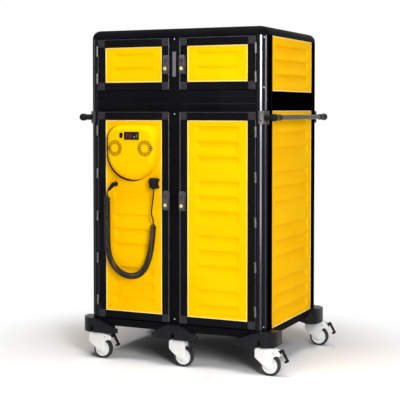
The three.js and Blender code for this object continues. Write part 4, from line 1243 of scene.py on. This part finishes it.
# Lit display segments: deep red, evenly glowing behind a smoked window.
segment_red, tree, place, output = new_material("lit_segments_red")
glow_drift = add_node(tree, "ShaderNodeTexNoise", {"Vector": place, "Scale": 400.0, "Detail": 1.0})
glow_colour = add_node(tree, "ShaderNodeMix", {
    "Factor": glow_drift.outputs["Fac"], 6: linear("#7A0A14"), 7: linear("#94101C")}, data_type="RGBA")
shader = add_node(tree, "ShaderNodeBsdfPrincipled", {
    "Base Color": glow_colour.outputs[2], "Roughness": 0.4, "Emission Color": glow_colour.outputs[2],
    "Emission Strength": 0.25, "IOR": 1.49})
tree.links.new(shader.outputs["BSDF"], output.inputs["Surface"])

# Screened marks on the window: soft white ink.
ink_white, tree, place, output = new_material("screened_ink_white")
ink_drift = add_node(tree, "ShaderNodeTexNoise", {"Vector": place, "Scale": 900.0, "Detail": 1.0})
ink_colour = add_node(tree, "ShaderNodeMix", {
    "Factor": ink_drift.outputs["Fac"], 6: linear("#8C8488"), 7: linear("#A09A9C")}, data_type="RGBA")
shader = add_node(tree, "ShaderNodeBsdfPrincipled", {
    "Base Color": ink_colour.outputs[2], "Roughness": 0.55, "IOR": 1.5})
tree.links.new(shader.outputs["BSDF"], output.inputs["Surface"])

display_low, display_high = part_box("display_window")
bm = bmesh.new()
box(bm, display_low, display_high)
piece("display_pane", bm, black_acrylic, DOOR, edge=0.0012, rounds=3, replaces=("display_window",))
# The display's corners, seen from the front.
left_x, face_y, low_z = display_low
right_x, _, high_z = display_high
BEZEL_REACH = 0.0012
bm = bmesh.new()
flat_ring(bm, left_x - BEZEL_REACH, right_x + BEZEL_REACH, low_z - BEZEL_REACH, high_z + BEZEL_REACH,
          0.0026, face_y - 0.0005, face_y + 0.0018)
piece("display_bezel", bm, black_moulding, DOOR, edge=0.0006)

SEGMENTS = {"6": "acdefg", "5": "acdfg"}
FIGURE_WIDTH = 0.0125
FIGURE_HEIGHT = 0.0185
FIGURE_PITCH = 0.0165
BAR = 0.0032
BAR_TRIM = 0.0005
INK_HEIGHT = 0.0003


def digit(bm, left, bottom, lit):
    """A seven-segment figure, its lit bars given by letters."""
    right = left + FIGURE_WIDTH
    top = bottom + FIGURE_HEIGHT
    middle = bottom + FIGURE_HEIGHT / 2
    spans = {
        "a": (left, top - BAR, right, top),
        "b": (right - BAR, middle, right, top),
        "c": (right - BAR, bottom, right, middle),
        "d": (left, bottom, right, bottom + BAR),
        "e": (left, bottom, left + BAR, middle),
        "f": (left, middle, left + BAR, top),
        "g": (left, middle - BAR / 2, right, middle + BAR / 2),
    }
    for name in lit:
        x0, z0, x1, z1 = spans[name]
        box(bm, (x0 + BAR_TRIM, face_y - INK_HEIGHT, z0 + BAR_TRIM),
            (x1 - BAR_TRIM, face_y + 0.0004, z1 - BAR_TRIM))


bm = bmesh.new()
for position, figure in enumerate("65"):
    digit(bm, left_x + 0.0115 + FIGURE_PITCH * position, low_z + 0.0095, SEGMENTS[figure])
piece("display_figures", bm, segment_red, DOOR)
# A round mark and an upright one beside the figures.
bm = bmesh.new()
dot = Vector((right_x - 0.0235, face_y, low_z + 0.0135))
rod(bm, dot - Vector((0, INK_HEIGHT, 0)), dot + Vector((0, INK_HEIGHT, 0)), 0.0036, 20)
box(bm, (right_x - 0.0115, face_y - INK_HEIGHT, low_z + 0.0105),
    (right_x - 0.0095, face_y + INK_HEIGHT, low_z + 0.0265))
piece("display_marks", bm, ink_white, DOOR)

softened("power_button", "button_cap", black_moulding, edge=0.0014, rounds=3)

# ---------------------------------------------------------------------------
# Inside. A pressed divider with the shelf and tray ledges, ledge racks on the
# end walls and flat liners, all pale grey plastic over foam.
softened("inner_divider", "divider_and_shelf", liner_abs, edge=0.0008, rounds=1)
for side in ("left", "right"):
    softened(f"rack_{side}", f"ledge_rack_{side}", liner_abs, edge=0.0008, rounds=1)
# Flat liners: one on the rear wall, and one on the floor and roof of each column.
LINER_SIDE = 0.4268
LINER_FRONT = -0.318
LINER_REAR = 0.3425
bm = bmesh.new()
box(bm, (-LINER_SIDE, 0.3437, POST_BOTTOM + 0.0008), (LINER_SIDE, 0.3457, POST_TOP - 0.0008))
for sign in (-1, 1):
    x0, x1 = sorted((sign * 0.0125, sign * 0.4088))
    for low, high in ((BASE_TOP + 0.0003, BASE_TOP + 0.0018), (ROOF_BOTTOM - 0.0018, ROOF_BOTTOM - 0.0003)):
        box(bm, (x0, LINER_FRONT, low), (x1, LINER_REAR, high))
piece("cavity_liner", bm, liner_abs, CABINET, edge=0.0004, rounds=1)

# ---------------------------------------------------------------------------
# Screws. Zinc-plated steel pan heads, driven into the centre post and the corner
# posts near their ends and beside the belts.
screw_places = [((0, -0.380, z), (0, -1, 0)) for z in (1.6000, 1.2365, 0.2310)]
for sign_y in (-1, 1):
    for sign in (-1, 1):
        spots = [(sign * 0.4602, sign_y * 0.3644, z) for z in (1.5980, 1.3620, 0.2260)]
        screw_places += [(spot, (sign * 0.74, sign_y * 0.67, 0)) for spot in spots]
bm = bmesh.new()
for spot, facing in screw_places:
    spot, facing = Vector(spot), Vector(facing).normalized()
    rod(bm, spot - facing * 0.001, spot + facing * 0.0014, 0.0036, 20, 0.0026)
piece("frame_screws", bm, zinc_plate, CABINET, edge=0.0003)

# ---------------------------------------------------------------------------
# Studio. A paper floor that fades to plain white round the cart, and four soft lights:
# a key and, below it, a tall strip at the front right that draws the stripe down the
# near corner post, a low card for the casters, and a large light from above.


def seen_directly(tree):
    """1 for rays from the camera, in reflections and through glass; 0 for the rest."""
    path = add_node(tree, "ShaderNodeLightPath")
    seen = add_node(tree, "ShaderNodeMath", {
        0: path.outputs["Is Camera Ray"], 1: path.outputs["Is Glossy Ray"]}, operation="MAXIMUM")
    return add_node(tree, "ShaderNodeMath", {
        0: seen.outputs["Value"], 1: path.outputs["Is Transmission Ray"]}, operation="MAXIMUM")


# Floor paper: near white, matt; what the camera sees of it is plain white further out.
floor_paper, tree, place, output = new_material("studio_floor")
seen_or_through = seen_directly(tree)
away = add_node(tree, "ShaderNodeVectorMath", {0: place, 1: (1.0, 1.1, 1.0)}, operation="MULTIPLY")
distance = add_node(tree, "ShaderNodeVectorMath", {0: away.outputs["Vector"]}, operation="LENGTH")
fade = add_node(tree, "ShaderNodeMapRange", {
    "Value": distance.outputs["Value"], "From Min": 0.75, "From Max": 1.5}, interpolation_type="SMOOTHSTEP")
whiten = add_node(tree, "ShaderNodeMath", {
    0: fade.outputs["Result"], 1: seen_or_through.outputs["Value"]}, operation="MULTIPLY")
fibre = add_node(tree, "ShaderNodeTexNoise", {"Vector": place, "Scale": 60.0, "Detail": 2.0})
paper_colour = add_node(tree, "ShaderNodeMix", {
    "Factor": fibre.outputs["Fac"], 6: linear("#FAFAFA"), 7: linear("#F6F6F6")}, data_type="RGBA")
paper = add_node(tree, "ShaderNodeBsdfDiffuse", {"Color": paper_colour.outputs[2]})
white = add_node(tree, "ShaderNodeEmission", {"Color": (1, 1, 1, 1), "Strength": 1.0})
mixed = add_node(tree, "ShaderNodeMixShader", {
    0: whiten.outputs["Value"], 1: paper.outputs["BSDF"], 2: white.outputs["Emission"]})
tree.links.new(mixed.outputs["Shader"], output.inputs["Surface"])
bm = bmesh.new()
bmesh.ops.create_grid(bm, x_segments=1, y_segments=1, size=25)
floor_mesh = bpy.data.meshes.new("studio_floor")
bm.to_mesh(floor_mesh)
bm.free()
floor_mesh.materials.append(floor_paper)
studio_floor = bpy.data.objects.new("studio_floor", floor_mesh)
bpy.context.collection.objects.link(studio_floor)

# White for the camera, a weak soft light for the cart.
world = bpy.data.worlds.new("studio_world")
world.use_nodes = True
bpy.context.scene.world = world
tree = world.node_tree
tree.nodes.clear()
seen_or_through = seen_directly(tree)
soft_room = add_node(tree, "ShaderNodeBackground", {"Color": (1, 1, 1, 1), "Strength": 0.12})
plain_white = add_node(tree, "ShaderNodeBackground", {"Color": (1, 1, 1, 1), "Strength": 1.0})
mixed = add_node(tree, "ShaderNodeMixShader", {
    0: seen_or_through.outputs["Value"], 1: soft_room.outputs["Background"],
    2: plain_white.outputs["Background"]})
output = add_node(tree, "ShaderNodeOutputWorld")
tree.links.new(mixed.outputs["Shader"], output.inputs["Surface"])


def studio_lamp(name, spot, target, width, height, power):
    """A rectangular soft light at a place, facing a target."""
    lamp = bpy.data.lights.new(name, "AREA")
    lamp.shape = "RECTANGLE"
    lamp.size = width
    lamp.size_y = height
    lamp.energy = power
    holder = bpy.data.objects.new(name, lamp)
    holder.location = spot
    holder.rotation_euler = (Vector(target) - Vector(spot)).to_track_quat("-Z", "Y").to_euler()
    bpy.context.collection.objects.link(holder)


studio_lamp("key_light", (2.75, -3.4, 3.0), (-0.1, -0.2, 0.95), 1.4, 1.2, 44)
studio_lamp("strip_light", (2.9, -3.65, 2.15), (0.2, -0.3, 1.3), 0.8, 1.8, 106)
studio_lamp("low_card", (2.9, -3.65, 0.68), (0.2, -0.3, 0.8), 0.8, 1.1, 13)
studio_lamp("top_light", (0.2, -0.8, 4.4), (0, 0, 0), 3.0, 2.6, 176)
